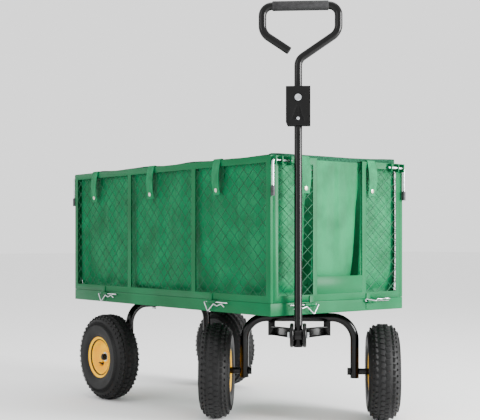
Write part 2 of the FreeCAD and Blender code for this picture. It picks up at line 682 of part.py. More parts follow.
def panels():
    """Two side panels and two end panels, each with mesh and straps."""
    turns = {"right": (Vector(0, -HALF_WIDTH, PANEL_LOW), 0),
             "left": (Vector(0, HALF_WIDTH, PANEL_LOW), 180),
             "front": (Vector(HALF_LENGTH, 0, PANEL_LOW), 90),
             "rear": (Vector(-HALF_LENGTH, 0, PANEL_LOW), -90)}
    for name, (at, angle) in turns.items():
        local = Placement(at, Rotation(Z, angle))
        place = CART.multiply(local)
        hinges = [key for key in HINGES if key.startswith(name + "_")]
        if name in ("right", "left"):
            long, offset, formula = S.tray_length, S.side_divider, "tray_length"
            end, inner, extras = S.side_upright, S.side_upright, [ear(1), ear(-1)]
            places = [S.strap_middle - S.strap_pitch, S.strap_middle, S.strap_middle + S.strap_pitch]
            places = [x if name == "right" else -x for x in places]
        else:
            long, offset = 2 * END_HALF, S.inner_offset
            formula = "tray_width - 2 * panel_depth - 2 * end_play"
            end, inner = S.end_upright, S.inner_upright
            extras = [eye(side * x) for side in (-1, 1) for x in (S.eye_outer, S.eye_inner)]
            places = [-S.end_strap, S.end_strap]
        extras = extras + leaves(hinges, local)
        keep(panel_frame(name + "_panel_frame", formula, end, inner, offset, hinges, extras, name == "front"),
             name + "_panel_frame", place)
        keep(feature(name + "_panel_mesh", panel_mesh(long, offset, name == "front")),
             name + "_panel_mesh", place)
        keep(feature(name + "_straps", Part.makeCompound([strap(x) for x in places])),
             name + "_straps", place)
        if name == "front":
            wide = 2 * (offset - inner / 2)
            plate = bound("Part::Box", "low_plate", Vector(), Width="panel_wall", Height="low_plate_height")
            plate.Length = wide
            keep(plate, "front_low_plate",
                 place.multiply(Placement(Vector(-wide / 2, 0, S.rail_height), Rotation())))


# ---------------------------------------------------------------- latches and clips

def latch(name, ahead, side):
    """A latch rod through the eyes, its leg hanging in a sleeve."""
    x, z = ahead * (HALF_LENGTH + S.latch_stand), S.latch_height
    points = [Vector(x, side * S.latch_reach, z), Vector(x, side * S.latch_hang, z),
              Vector(x, side * S.latch_hang, z - S.latch_leg)]
    bar = tube(points, [S.latch_bend], S.latch_wire)
    foot = Vector(x, side * S.latch_hang, z - S.latch_leg)
    sleeve = rod(S.sleeve_across, S.sleeve_length, foot, Z)
    sleeve = sleeve.cut(rod(S.latch_wire + 0.1, S.sleeve_length, foot, Z))
    keep(feature("latch_rod_" + name, Part.makeCompound([bar, sleeve])), "latch_rod_" + name)


def clip():
    """A hairpin hinge clip: a straight leg in the knuckles and a wavy leg in front of them."""
    long, out, drop = S.clip_length, -S.clip_stand, S.clip_drop
    points = [Vector(long, 0, 0), Vector(0, 0, 0), Vector(-1, out, -0.5), Vector(long * 0.16, out, -drop),
              Vector(long * 0.44, out, -drop * 0.16), Vector(long * 0.6, out, -drop * 0.36),
              Vector(long * 0.8, out, -drop * 0.12), Vector(long * 0.94, out, -drop * 0.4)]
    return tube(points, [3.2, 2.6, 3.5, 5, 5, 5], S.clip_wire)


def clips():
    """The eight hinge clips, one of them standing raised."""
    for name, hinge in HINGES.items():
        shape = clip()
        if name == "front_left":
            shape.rotate(Vector(), X, -S.clip_raised)
        keep(feature("hinge_clip_" + name, set_out(shape, hinge)), "hinge_clip_" + name)


# ---------------------------------------------------------------- liner

def liner():
    """The fabric liner as an open box, slit behind the front panel's uprights."""
    gap = S.panel_depth + S.liner_room
    half_x, half_y, low = HALF_LENGTH - gap, HALF_WIDTH - gap, TRAY_TOP + 0.3
    outer = bound("Part::Box", "liner_outer", Vector(-half_x, -half_y, low),
                  Length="tray_length - 2 * panel_depth - 2 * liner_room",
                  Width="tray_width - 2 * panel_depth - 2 * liner_room")
    outer.Height = S.liner_top - low
    wall = S.liner_wall
    inner = bound("Part::Box", "liner_inside", Vector(-half_x + wall, -half_y + wall, low + wall),
                  Length="tray_length - 2 * panel_depth - 2 * liner_room - 2 * liner_wall",
                  Width="tray_width - 2 * panel_depth - 2 * liner_room - 2 * liner_wall")
    inner.Height = S.liner_top
    slits = []
    for side in (-1, 1):
        slit = bound("Part::Box", "slit_left" if side > 0 else "slit_right",
                     Vector(half_x - 2 * wall, side * S.inner_offset - S.slit_width / 2, S.slit_base),
                     Width="slit_width")
        slit.Length, slit.Height = 4 * wall, S.liner_top
        slits.append(slit)
    return keep(cut("liner", outer, inner, *slits), "liner")


# ---------------------------------------------------------------- front axle and tongue

def front_axle():
    """The steered axle: beam, turntable plate, kingpin, tongue and clevis cheeks."""
    solid = beam(BEAM_MID)
    solid = solid.cut(rod(S.kingpin_across + 0.1, 80, Vector(0, 0, BEAM_MID - 40), Z))
    keep(feature("front_axle_beam", solid), "front_axle_beam", STEER)

    low = BEAM_MID - S.beam_across / 2
    thick = S.spindle_nut_height
    shank = rod(S.kingpin_across, S.tray_bottom + 16 - low, Vector(0, 0, low - S.seat_gap), Z)
    head = hexagon(S.spindle_nut, thick, Vector(0, 0, low - thick - S.seat_gap), Z)
    nut = hexagon(S.spindle_nut, thick, Vector(0, 0, S.tray_bottom + S.cross_wall + S.plate_gap), Z)
    keep(feature("kingpin", shank.fuse(head).fuse(nut)), "kingpin", STEER)

    rise = S.pivot_height - S.tongue_height / 2 + 6
    arms = []
    for side in (-1, 1):
        y0, y1 = side * S.tongue_spread, side * 22
        arm = taper(-12, y0, S.tongue_low, 316, y1, rise, 0)
        arm = arm.cut(taper(-13, y0 + side * 3, S.tongue_low + 3, 317, y1 + side * 3, rise + 3, 6))
        post = block(-12, 12, y0 - 12, y0 + 12, S.tongue_low, BEAM_MID)
        post = post.cut(block(-13, 13, y0 - 9, y0 + 9, S.tongue_low + S.tongue_height, BEAM_MID + 1))
        arms.append(arm.fuse(post))
    pins = rod(S.beam_across, S.beam_width, Vector(0, -S.beam_width / 2, BEAM_MID), Y)
    hub = rod(2 * S.cheek_radius + 0.02, 80, Vector(S.tongue_length, -40, S.pivot_height), Y)
    tongue = [arm.cut(pins).cut(hub) for arm in arms]
    keep(feature("tongue_arms", Part.makeCompound(tongue)), "tongue_arms", STEER)

    cheeks = []
    inside = S.foot_width / 2 + S.foot_play
    for side in (-1, 1):
        at = Vector(S.tongue_length, side * inside, S.pivot_height)
        disc = rod(2 * S.cheek_radius, S.cheek_wall, at, Y * side)
        hole = rod(S.clevis_bolt_across + S.bolt_clearance, 2 * S.cheek_wall, at - Y * S.cheek_wall, Y)
        cheeks.append(disc.cut(hole))
    keep(feature("clevis_cheeks", Part.makeCompound(cheeks)), "clevis_cheeks", STEER)

    outside = inside + S.cheek_wall
    at = Vector(S.tongue_length, -outside, S.pivot_height)
    bolt = rod(S.clevis_bolt_across, 2 * outside + 2, at - Y, Y)
    bolt = bolt.fuse(hexagon(S.clevis_nut, 7, at - Y * (7 + S.seat_gap), Y))
    bolt = bolt.fuse(hexagon(S.clevis_nut, 8, at + Y * (2 * outside + S.seat_gap), Y))
    keep(feature("clevis_bolt", bolt), "clevis_bolt", STEER)


def taper(x0, y0, z0, x1, y1, z1, less):
    """A straight bar between two upright ends, narrower by less all round in height."""
    wires = []
    for x, y, z in ((x0, y0, z0), (x1, y1, z1)):
        half, tall = S.tongue_width / 2, S.tongue_height - less
        wires.append(Part.makePolygon([Vector(x, y - half, z), Vector(x, y + half, z),
                                       Vector(x, y + half, z + tall), Vector(x, y - half, z + tall),
                                       Vector(x, y - half, z)]))
    return Part.makeLoft(wires, True, True)


# ---------------------------------------------------------------- handle

def handle():
    """The tow handle: tube and foot, hitch bracket, bolts, hand loop and grip."""
    place = STEER.multiply(Placement(Vector(S.tongue_length, 0, 0), Rotation()))
    tail = S.swing_height - S.stem_tail - 7
    foot = rod(38, S.foot_width, Vector(0, -S.foot_width / 2, S.pivot_height), Y)
    flare = Part.makeCone(21, 12.5, 42, Vector(0, 0, S.pivot_height - 36))
    flare = flare.common(block(-40, 40, -S.foot_width / 2, S.foot_width / 2, 0, S.pivot_height + 20))
    pole = rod(S.tube_across, tail - S.pivot_height, Vector(0, 0, S.pivot_height), Z)
    pole = pole.cut(rod(S.tube_across - 2 * S.tube_wall, tail, Vector(0, 0, S.pivot_height + 30), Z))
    pole = pole.fuse(foot).fuse(flare)
    lock_height = S.bracket_low + S.lock_bolt_rise
    swing_hole, lock_hole = S.clevis_bolt_across + S.bolt_clearance, S.lock_bolt_across + S.bolt_clearance
    pole = pole.cut(rod(swing_hole, 60, Vector(0, -30, S.pivot_height), Y))
    pole = pole.cut(rod(lock_hole, 60, Vector(-30, 0, lock_height), X))
    keep(feature("handle_tube", pole), "handle_tube", place)

    inner = S.tube_across / 2 + S.bracket_play
    outer = inner + S.bracket_wall
    half, low, high = S.bracket_width / 2, S.bracket_low, S.bracket_low + S.bracket_height
    shell = block(-outer, outer, -half, half, low, high)
    shell = shell.cut(block(-inner, inner, -half - 1, half - S.bracket_wall, low - 1, high + 1))
    first = Vector(-outer - 1, -half - 1, low - 1)
    corner = Part.Face(Part.makePolygon([first, first + Y * 7, first + Z * 15, first]))
    shell = shell.cut(corner.extrude(Vector(2 * outer + 2, 0, 0)))
    for height, across in ((S.swing_height, swing_hole), (lock_height, lock_hole)):
        shell = shell.cut(rod(across, 60, Vector(-30, 0, height), X))
    keep(feature("hitch_bracket", shell), "hitch_bracket", place)

    pins = []
    for height, across, head in ((S.swing_height, S.clevis_bolt_across, 21),
                                 (lock_height, S.lock_bolt_across, 10)):
        pin = rod(across, 2 * outer + 4, Vector(-outer - 2, 0, height), X)
        cap = rod(head, 4, Vector(outer + 0.1, 0, height), X)
        nut = hexagon(head - 3, 5, Vector(-outer - 5.1, 0, height), X)
        pins.append(pin.fuse(cap).fuse(nut))
    keep(feature("bracket_bolts", Part.makeCompound(pins)), "bracket_bolts", place)

    side, slope = S.loop_width / 2, math.tan(math.radians(S.leg_slope))
    right, left, top = S.loop_shift + side, S.loop_shift - side, S.grip_height
    shoulder = S.neck_height + right * slope
    free = -S.hook_gap
    points = [Vector(0, 0, S.swing_height - S.stem_tail), Vector(0, 0, S.neck_height),
              Vector(0, right, shoulder), Vector(0, right, top), Vector(0, left, top),
              Vector(0, left, shoulder), Vector(0, free, shoulder + (left - free) * slope)]
    bends = [S.neck_bend, S.loop_bend, S.grip_bend, S.grip_bend, S.loop_bend]
    loop = tube(points, bends, S.tube_across, S.tube_wall)
    loop = loop.cut(rod(swing_hole, 60, Vector(-30, 0, S.swing_height), X))
    keep(feature("hand_loop", loop), "hand_loop", place)

    start = Vector(0, S.loop_shift - S.grip_length / 2, top)
    grip = rod(S.grip_across, S.grip_length, start, Y)
    keep(feature("grip", grip.cut(rod(S.tube_across + 0.1, S.grip_length, start, Y))), "grip", place)


# ---------------------------------------------------------------- the cart

tray_frame()
tray_floor()
cross_members()
turntable_plate("turntable_upper_plate", S.tray_bottom - S.plate_wall - 0.1,
                CART.multiply(Placement(Vector(S.kingpin_x, 0, 0), Rotation())))
turntable_plate("turntable_lower_plate", BEAM_TOP + 0.1, STEER)
rear_axle()
rear = CART.multiply(Placement(Vector(S.rear_axle, 0, 0), Rotation()))
spindles("rear", rear)
front_axle()
spindles("front", STEER)
for end, base in (("front", STEER), ("rear", rear)):
    for hand, side in (("right", -1), ("left", 1)):
        turn = Rotation() if side > 0 else Rotation(Z, 180)
        wheel(f"{end}_{hand}", base.multiply(Placement(Vector(0, side * S.track_half, S.wheel_radius), turn)))
panels()
for end, ahead in (("front", 1), ("rear", -1)):
    for hand, side in (("right", -1), ("left", 1)):
        latch(f"{end}_{hand}", ahead, side)
clips()
liner()
handle()
doc.recompute()

for item in doc.Objects:
    if {"Invalid", "Error"} & set(item.State):
        raise RuntimeError(f"{item.Name} failed: {item.State}")
for item in parts:
    if item.Shape.isNull() or not item.Shape.isValid():
        raise RuntimeError(f"{item.Label} has no valid shape")

os.makedirs("parts", exist_ok=True)
for item in parts:
    item.Shape.exportStep(f"parts/{item.Label}.step")
print(len(parts), "sub-parts written")
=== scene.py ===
import json
import math

import bmesh
import bpy
from mathutils import Matrix, Vector, noise


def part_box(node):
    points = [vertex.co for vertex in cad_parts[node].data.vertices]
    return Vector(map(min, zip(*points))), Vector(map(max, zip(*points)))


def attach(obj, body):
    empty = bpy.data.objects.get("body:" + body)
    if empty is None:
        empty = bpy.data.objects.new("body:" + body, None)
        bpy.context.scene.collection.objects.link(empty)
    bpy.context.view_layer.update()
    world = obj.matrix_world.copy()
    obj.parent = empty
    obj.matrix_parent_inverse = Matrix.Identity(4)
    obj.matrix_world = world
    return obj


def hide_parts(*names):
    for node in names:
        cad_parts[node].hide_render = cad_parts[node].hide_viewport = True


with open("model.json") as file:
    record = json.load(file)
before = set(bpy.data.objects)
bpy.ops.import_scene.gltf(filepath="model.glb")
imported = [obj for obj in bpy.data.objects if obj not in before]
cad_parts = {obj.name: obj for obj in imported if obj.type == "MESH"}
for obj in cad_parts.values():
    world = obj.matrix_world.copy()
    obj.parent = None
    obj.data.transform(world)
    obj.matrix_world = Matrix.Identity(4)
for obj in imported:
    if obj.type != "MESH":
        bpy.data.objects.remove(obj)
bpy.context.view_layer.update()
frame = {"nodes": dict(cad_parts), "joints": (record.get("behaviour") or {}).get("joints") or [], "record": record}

# Garden cart: green powder-coated bed and mesh panels, a coated fabric liner, yellow rims on
# pneumatic tyres and gloss black steering gear. Lengths are in metres, written through mm().


def mm(value):
    """Millimetres to metres."""
    return value / 1000


JOINTS = {joint["name"]: joint for joint in frame["joints"]}
BODY = {node: body for body, nodes in frame["record"]["behaviour"]["bodies"].items() for node in nodes}

# ---------------------------------------------------------------- places read from the frame

MESH_LOW, MESH_HIGH = (Vector(corner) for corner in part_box("right_panel_mesh"))
EDGE = mm(1.8)
BED_MID = (MESH_LOW.x + MESH_HIGH.x) / 2
HALF_LONG = (MESH_HIGH.x - MESH_LOW.x) / 2 + EDGE
HALF_WIDE = -MESH_LOW.y + mm(1.5)
PANEL_LOW = MESH_LOW.z - EDGE
PANEL_TALL = MESH_HIGH.z - MESH_LOW.z + 2 * EDGE
PANEL_DEEP = mm(12)
END_HALF = (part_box("front_panel_mesh")[1][1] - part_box("front_panel_mesh")[0][1]) / 2 + EDGE
RAIL, SIDE_UPRIGHT, END_UPRIGHT, INNER_UPRIGHT = mm(22), mm(22), mm(20), mm(18)
SIDE_DIVIDER, INNER_OFFSET = mm(203), mm(114)
KINGPIN = Vector(JOINTS["steering"]["pos_m"])
ACROSS = Vector(JOINTS["handle_tilt"]["axis"]).normalized()
AHEAD = Vector(JOINTS["loop_swing"]["axis"]).normalized()
STEERED = Matrix((AHEAD, ACROSS, (0, 0, 1))).transposed().to_4x4()
STEERED.translation = Vector((KINGPIN.x, KINGPIN.y, 0))


def panel_frame(name):
    """Where a panel stands: its drawing has the outer face on XZ and its inside towards +Y."""
    places = {"right": ((0, -HALF_WIDE), 0), "left": ((0, HALF_WIDE), 180),
              "front": ((HALF_LONG, 0), 90), "rear": ((-HALF_LONG, 0), -90)}
    (x, y), turn = places[name]
    return Matrix.Translation((BED_MID + x, y, PANEL_LOW)) @ Matrix.Rotation(math.radians(turn), 4, "Z")


# ---------------------------------------------------------------- materials

def colour(code):
    """An sRGB hex colour as linear RGBA."""
    parts = [int(code[n:n + 2], 16) / 255 for n in (1, 3, 5)]
    return tuple(c / 12.92 if c <= 0.04045 else ((c + 0.055) / 1.055) ** 2.4 for c in parts) + (1.0,)


def add(tree, kind, links=(), **settings):
    """A node with its settings: plain attributes, or socket values by name or number."""
    node = tree.nodes.new(kind)
    for key, value in settings.items():
        if hasattr(node, key):
            setattr(node, key, value)
        else:
            name = key.replace("_", " ")
            socket = [s for s in node.inputs if s.name.lower() == name.lower() and s.enabled][0]
            socket.default_value = value
    for source, target in links:
        tree.links.new(source, node.inputs[target])
    return node


def surface(name, base, **shader):
    """A material with a shader, its base colour and the object's own coordinates."""
    material = bpy.data.materials.new(name)
    material.use_nodes = True
    tree = material.node_tree
    skin = tree.nodes["Principled BSDF"]
    skin.inputs["Base Color"].default_value = colour(base)
    for key, value in shader.items():
        skin.inputs[key.replace("_", " ")].default_value = value
    place = add(tree, "ShaderNodeTexCoord")
    return material, tree, skin, place.outputs["Object"]


def mottle(tree, skin, place, light, dark, size, low=0.35, high=0.65):
    """Slow colour variation between two tones, in patches of the given size in metres."""
    cloud = add(tree, "ShaderNodeTexNoise", [(place, "Vector")], Scale=1 / size, Detail=4.0)
    ramp = add(tree, "ShaderNodeValToRGB", [(cloud.outputs["Fac"], "Fac")])
    ramp.color_ramp.elements[0].position, ramp.color_ramp.elements[1].position = low, high
    ramp.color_ramp.elements[0].color, ramp.color_ramp.elements[1].color = colour(dark), colour(light)
    tree.links.new(ramp.outputs["Color"], skin.inputs["Base Color"])


def bumps(tree, skin, height, distance, strength=1.0):
    """Surface relief from a height value, in metres."""
    relief = add(tree, "ShaderNodeBump", [(height, "Height")], Distance=distance, Strength=strength)
    tree.links.new(relief.outputs["Normal"], skin.inputs["Normal"])


def uneven_gloss(tree, skin, place, size, low, high):
    """Roughness that drifts between two values."""
    cloud = add(tree, "ShaderNodeTexNoise", [(place, "Vector")], Scale=1 / size, Detail=3.0)
    span = add(tree, "ShaderNodeMapRange", [(cloud.outputs["Fac"], "Value")], To_Min=low, To_Max=high)
    tree.links.new(span.outputs["Result"], skin.inputs["Roughness"])


def powder_green(name="powder_coat_green", light="#035F37", dark="#02532E"):
    """Satin powder coat on steel: even green with fine orange peel about 1 mm across."""
    material, tree, skin, place = surface(name, light, Specular_IOR_Level=0.14)
    mottle(tree, skin, place, light, dark, mm(160))
    uneven_gloss(tree, skin, place, mm(60), 0.34, 0.46)
    peel = add(tree, "ShaderNodeTexNoise", [(place, "Vector")], Scale=1 / mm(1.6), Detail=2.0)
    bumps(tree, skin, peel.outputs["Fac"], mm(0.08), 0.6)
    return material


def coated_wire():
    """PVC coated wire: a deeper, smoother green than the frame."""
    material, tree, skin, place = surface("pvc_coated_wire", "#064A2E", Roughness=0.4,
                                          Specular_IOR_Level=0.25)
    mottle(tree, skin, place, "#085739", "#043D26", mm(40))
    wave = add(tree, "ShaderNodeTexNoise", [(place, "Vector")], Scale=1 / mm(5), Detail=1.0)
    bumps(tree, skin, wave.outputs["Fac"], mm(0.15), 0.5)
    return material


def weave(tree, place, spacing):
    """Height of a plain weave on all three axes: crossing threads at the given spacing."""
    apart = add(tree, "ShaderNodeSeparateXYZ", [(place, "Vector")])
    waves = []
    for axis in "XYZ":
        turn = add(tree, "ShaderNodeMath", [(apart.outputs[axis], 0)], operation="MULTIPLY")
        turn.inputs[1].default_value = 2 * math.pi / spacing
        waves.append(add(tree, "ShaderNodeMath", [(turn.outputs[0], 0)], operation="SINE").outputs[0])
    side = add(tree, "ShaderNodeMath", [(waves[0], 0), (waves[1], 1)], operation="ADD")
    both = add(tree, "ShaderNodeMath", [(side.outputs[0], 0), (waves[2], 1)], operation="MULTIPLY")
    return both.outputs[0]


def liner_fabric():
    """PVC coated polyester: soft green with a fine weave, drawn 3 mm apart so that it shows."""
    material, tree, skin, place = surface("pvc_coated_polyester", "#0A6E42", Specular_IOR_Level=0.16)
    mottle(tree, skin, place, "#0B7547", "#075E37", mm(90))
    uneven_gloss(tree, skin, place, mm(50), 0.48, 0.62)
    crease = add(tree, "ShaderNodeTexNoise", [(place, "Vector")], Scale=1 / mm(55), Detail=5.0,
                 Distortion=0.6)
    threads = weave(tree, place, mm(3))
    fine = add(tree, "ShaderNodeMath", [(threads, 0)], operation="MULTIPLY")
    fine.inputs[1].default_value = 0.03
    total = add(tree, "ShaderNodeMath", [(crease.outputs["Fac"], 0), (fine.outputs[0], 1)], operation="ADD")
    bumps(tree, skin, total.outputs[0], mm(4), 0.7)
    return material


def strap_webbing():
    """The liner's straps: the same coated cloth, doubled and a little lighter, with a weave."""
    material, tree, skin, place = surface("folded_polyester_strap", "#0B7043", Roughness=0.55,
                                          Specular_IOR_Level=0.16)
    mottle(tree, skin, place, "#0B7447", "#076039", mm(30))
    bumps(tree, skin, weave(tree, place, mm(2.4)), mm(0.2), 0.5)
    return material


def hem_binding_painted_shade():
    """Woven binding tape sewn along the liner's hem, in a dark green that is painted shade, mottled at random in
    small patches and bumped by its coarse weave.
    """
    # painted shade: the tape's dark green stands in for the shade on the liner's top edge
    material, tree, skin, place = surface("binding_tape_painted_shade", "#0E3D28", Roughness=0.85,
                                          Specular_IOR_Level=0.15)
    mottle(tree, skin, place, "#1A5B3E", "#07251A", mm(5), 0.3, 0.7)
    bumps(tree, skin, weave(tree, place, mm(4)), mm(0.4), 0.7)
    return material


def gloss_black():
    """Gloss black enamel on steel tube: sharp highlights, slight waviness."""
    material, tree, skin, place = surface("gloss_black_enamel", "#050505", Specular_IOR_Level=0.24)
    uneven_gloss(tree, skin, place, mm(40), 0.16, 0.27)
    mottle(tree, skin, place, "#040404", "#010101", mm(30))
    wave = add(tree, "ShaderNodeTexNoise", [(place, "Vector")], Scale=1 / mm(9), Detail=2.0)
    bumps(tree, skin, wave.outputs["Fac"], mm(0.02), 0.3)
    return material


def zinc_plate(name="bright_zinc_plate", light="#D9DCDF", dark="#B4B8BC"):
    """Bright zinc plating: pale metal with faint blotches and drawing marks."""
    material, tree, skin, place = surface(name, light, Metallic=1.0)
    mottle(tree, skin, place, light, dark, mm(12))
    uneven_gloss(tree, skin, place, mm(8), 0.22, 0.4)
    marks = add(tree, "ShaderNodeTexNoise", [(place, "Vector")], Scale=1 / mm(1.5), Detail=2.0)
    bumps(tree, skin, marks.outputs["Fac"], mm(0.05), 0.4)
    return material


def yellow_enamel():
    """Gloss yellow enamel on pressed steel rims: warm, with a faint orange peel."""
    material, tree, skin, place = surface("gloss_yellow_enamel", "#FFB400", Specular_IOR_Level=0.12)
    mottle(tree, skin, place, "#FFC800", "#FFB600", mm(50))
    uneven_gloss(tree, skin, place, mm(30), 0.25, 0.36)
    peel = add(tree, "ShaderNodeTexNoise", [(place, "Vector")], Scale=1 / mm(2), Detail=2.0)
    bumps(tree, skin, peel.outputs["Fac"], mm(0.08), 0.5)
    return material


def tyre_rubber():
    """Moulded natural rubber: charcoal, dusty and matt, with a fine grain from the mould."""
    material, tree, skin, place = surface("moulded_tyre_rubber", "#0C0C0D", Specular_IOR_Level=0.3)
    mottle(tree, skin, place, "#0C0C0D", "#050505", mm(45))
    uneven_gloss(tree, skin, place, mm(30), 0.5, 0.68)
    grain = add(tree, "ShaderNodeTexNoise", [(place, "Vector")], Scale=1 / mm(2.2), Detail=3.0)
    bumps(tree, skin, grain.outputs["Fac"], mm(0.25), 0.5)
    return material


def grip_foam():
    """Dark grey moulded grip: matt, finely grained."""
    material, tree, skin, place = surface("moulded_grip_foam", "#454649", Roughness=0.75,
                                          Specular_IOR_Level=0.35)
    mottle(tree, skin, place, "#2A2A2B", "#1C1C1D", mm(10))
    grain = add(tree, "ShaderNodeTexVoronoi", [(place, "Vector")], Scale=1 / mm(2.0))
    bumps(tree, skin, grain.outputs["Distance"], mm(0.3), 0.6)
    return material


def dark_rubber():
    """Moulded black rubber of sleeves, seals and valve stems."""
    material, tree, skin, place = surface("moulded_black_rubber", "#26272A", Roughness=0.6)
    mottle(tree, skin, place, "#303135", "#1C1D1F", mm(8))
    grain = add(tree, "ShaderNodeTexNoise", [(place, "Vector")], Scale=1 / mm(1.2), Detail=2.0)
    bumps(tree, skin, grain.outputs["Fac"], mm(0.15), 0.5)
    return material


GREEN = powder_green()
WIRE = coated_wire()
FABRIC = liner_fabric()
STRAP = strap_webbing()
# the hem's dark green is painted shade
HEM_PAINTED_SHADE = hem_binding_painted_shade()
BLACK = gloss_black()
ZINC = zinc_plate()
YELLOW = yellow_enamel()
TYRE = tyre_rubber()
GRIP = grip_foam()
RUBBER = dark_rubber()
NICKEL = zinc_plate("nickel_plated_snap", "#E4E0D2", "#C2BDAA")


# ---------------------------------------------------------------- mesh helpers

def piece(name, mesh, material, body, *stands_for, slot=None):
    """A finished mesh as a piece that rides on a body and may stand for CAD nodes."""
    obj = bpy.data.objects.new(name, mesh)
    bpy.context.scene.collection.objects.link(obj)
    if material and not mesh.materials:
        mesh.materials.append(material)
    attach(obj, body)
    if stands_for:
        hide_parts(*stands_for)
    return obj


def mesh_of(bm, name, angle=35):
    """The bmesh as a mesh whose faces are smooth except at sharp edges."""
    mesh = bpy.data.meshes.new(name)
    bmesh.ops.recalc_face_normals(bm, faces=bm.faces)
    bm.to_mesh(mesh)
    bm.free()
    mesh.polygons.foreach_set("use_smooth", [True] * len(mesh.polygons))
    mesh.set_sharp_from_angle(angle=math.radians(angle))
    return mesh


def baked(obj):
    """The object's evaluated mesh as a plain one, with the modifiers taken off."""
    graph = bpy.context.evaluated_depsgraph_get()
    mesh = bpy.data.meshes.new_from_object(obj.evaluated_get(graph), preserve_all_data_layers=True,
                                           depsgraph=graph)
    obj.modifiers.clear()
    obj.data = mesh
    return obj


def refined(node, material, bevel=0.0):
    """A CAD node's copy, merged, with its sharp edges rounded, in place of the node."""
    bm = bmesh.new()
    bm.from_mesh(frame["nodes"][node].data)
    bmesh.ops.remove_doubles(bm, verts=bm.verts, dist=mm(0.01))
    mesh = bpy.data.meshes.new(node + "_finish")
    bm.to_mesh(mesh)
    bm.free()
    mesh.materials.clear()
    mesh.materials.append(material)
    obj = bpy.data.objects.new(node + "_finish", mesh)
    bpy.context.scene.collection.objects.link(obj)
    if bevel:
        edge = obj.modifiers.new("edge", "BEVEL")
        edge.width, edge.segments, edge.limit_method = bevel, 2, "ANGLE"
        edge.angle_limit, edge.use_clamp_overlap = math.radians(38), True
        baked(obj)
    obj.data.polygons.foreach_set("use_smooth", [True] * len(obj.data.polygons))
    obj.data.set_sharp_from_angle(angle=math.radians(38))
    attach(obj, BODY[node])
    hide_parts(node)
    return obj


def lathe(bm, profile, steps, place=Matrix(), closed=False):
    """Turns (radius, height) pairs about Z. Points on the axis close the shape."""
    rings = []
    for radius, height in profile:
        if radius < 1e-7:
            rings.append([bm.verts.new(place @ Vector((0, 0, height)))])
            continue
        ring = []
        for n in range(steps):
            turn = 2 * math.pi * n / steps
            at = Vector((radius * math.cos(turn), radius * math.sin(turn), height))
            ring.append(bm.verts.new(place @ at))
        rings.append(ring)
    pairs = list(zip(rings, rings[1:])) + ([(rings[-1], rings[0])] if closed else [])
    for one, two in pairs:
        for n in range(steps):
            m = (n + 1) % steps
            corners = []
            for vert in (one[n % len(one)], one[m % len(one)], two[m % len(two)], two[n % len(two)]):
                if vert not in corners:
                    corners.append(vert)
            if len(corners) > 2:
                bm.faces.new(corners)


def rounded_box(bm, low, high, radius, place=Matrix()):
    """A block with rounded edges."""
    made = bmesh.ops.create_cube(bm, size=1)["verts"]
    for vert in made:
        for n in range(3):
            vert.co[n] = low[n] if vert.co[n] < 0 else high[n]
    edges = list({edge for vert in made for edge in vert.link_edges})
    result = bmesh.ops.bevel(bm, geom=edges, offset=radius, segments=2, affect="EDGES", profile=0.5,
                             clamp_overlap=True)
    verts = {vert for face in result["faces"] for vert in face.verts} | {v for v in made if v.is_valid}
    for vert in verts:
        vert.co = place @ vert.co


# ---------------------------------------------------------------- repeated parts, by Geometry Nodes

def grow(name, build, sockets, values):
    """Runs a Geometry Nodes tree on an empty mesh. Gives the object with its modifier still on."""
    tree = bpy.data.node_groups.get(name)
    if tree is None:
        tree = bpy.data.node_groups.new(name, "GeometryNodeTree")
        tree.interface.new_socket("Geometry", in_out="INPUT", socket_type="NodeSocketGeometry")
        for label, kind in sockets.items():
            tree.interface.new_socket(label, in_out="INPUT", socket_type="NodeSocket" + kind)
        tree.interface.new_socket("Geometry", in_out="OUTPUT", socket_type="NodeSocketGeometry")
        given = tree.nodes.new("NodeGroupInput").outputs
        result = build(tree, given)
        real = add(tree, "GeometryNodeRealizeInstances", [(result, "Geometry")])
        painted = add(tree, "GeometryNodeSetMaterial", [(real.outputs[0], "Geometry"),
                                                        (given["Material"], "Material")])
        tree.links.new(painted.outputs[0], tree.nodes.new("NodeGroupOutput").inputs[0])
    obj = bpy.data.objects.new(name, bpy.data.meshes.new(name))
    bpy.context.scene.collection.objects.link(obj)
    modifier = obj.modifiers.new(name, "NODES")
    modifier.node_group = tree
    for item in tree.interface.items_tree:
        if item.in_out == "INPUT" and item.name in values:
            modifier[item.identifier] = values[item.name]
    return obj


def maths(tree, operation, first, second):
    """A Math node on two sockets or numbers."""
    node = add(tree, "ShaderNodeMath", operation=operation)
    for n, value in enumerate((first, second)):
        if isinstance(value, (int, float)):
            node.inputs[n].default_value = value
        else:
            tree.links.new(value, node.inputs[n])
    return node.outputs[0]


def vector(tree, x=0.0, y=0.0, z=0.0):
    """A vector from three sockets or numbers."""
    node = add(tree, "ShaderNodeCombineXYZ")
    for n, value in enumerate((x, y, z)):
        if isinstance(value, (int, float)):
            node.inputs[n].default_value = value
        else:
            tree.links.new(value, node.inputs[n])
    return node.outputs[0]


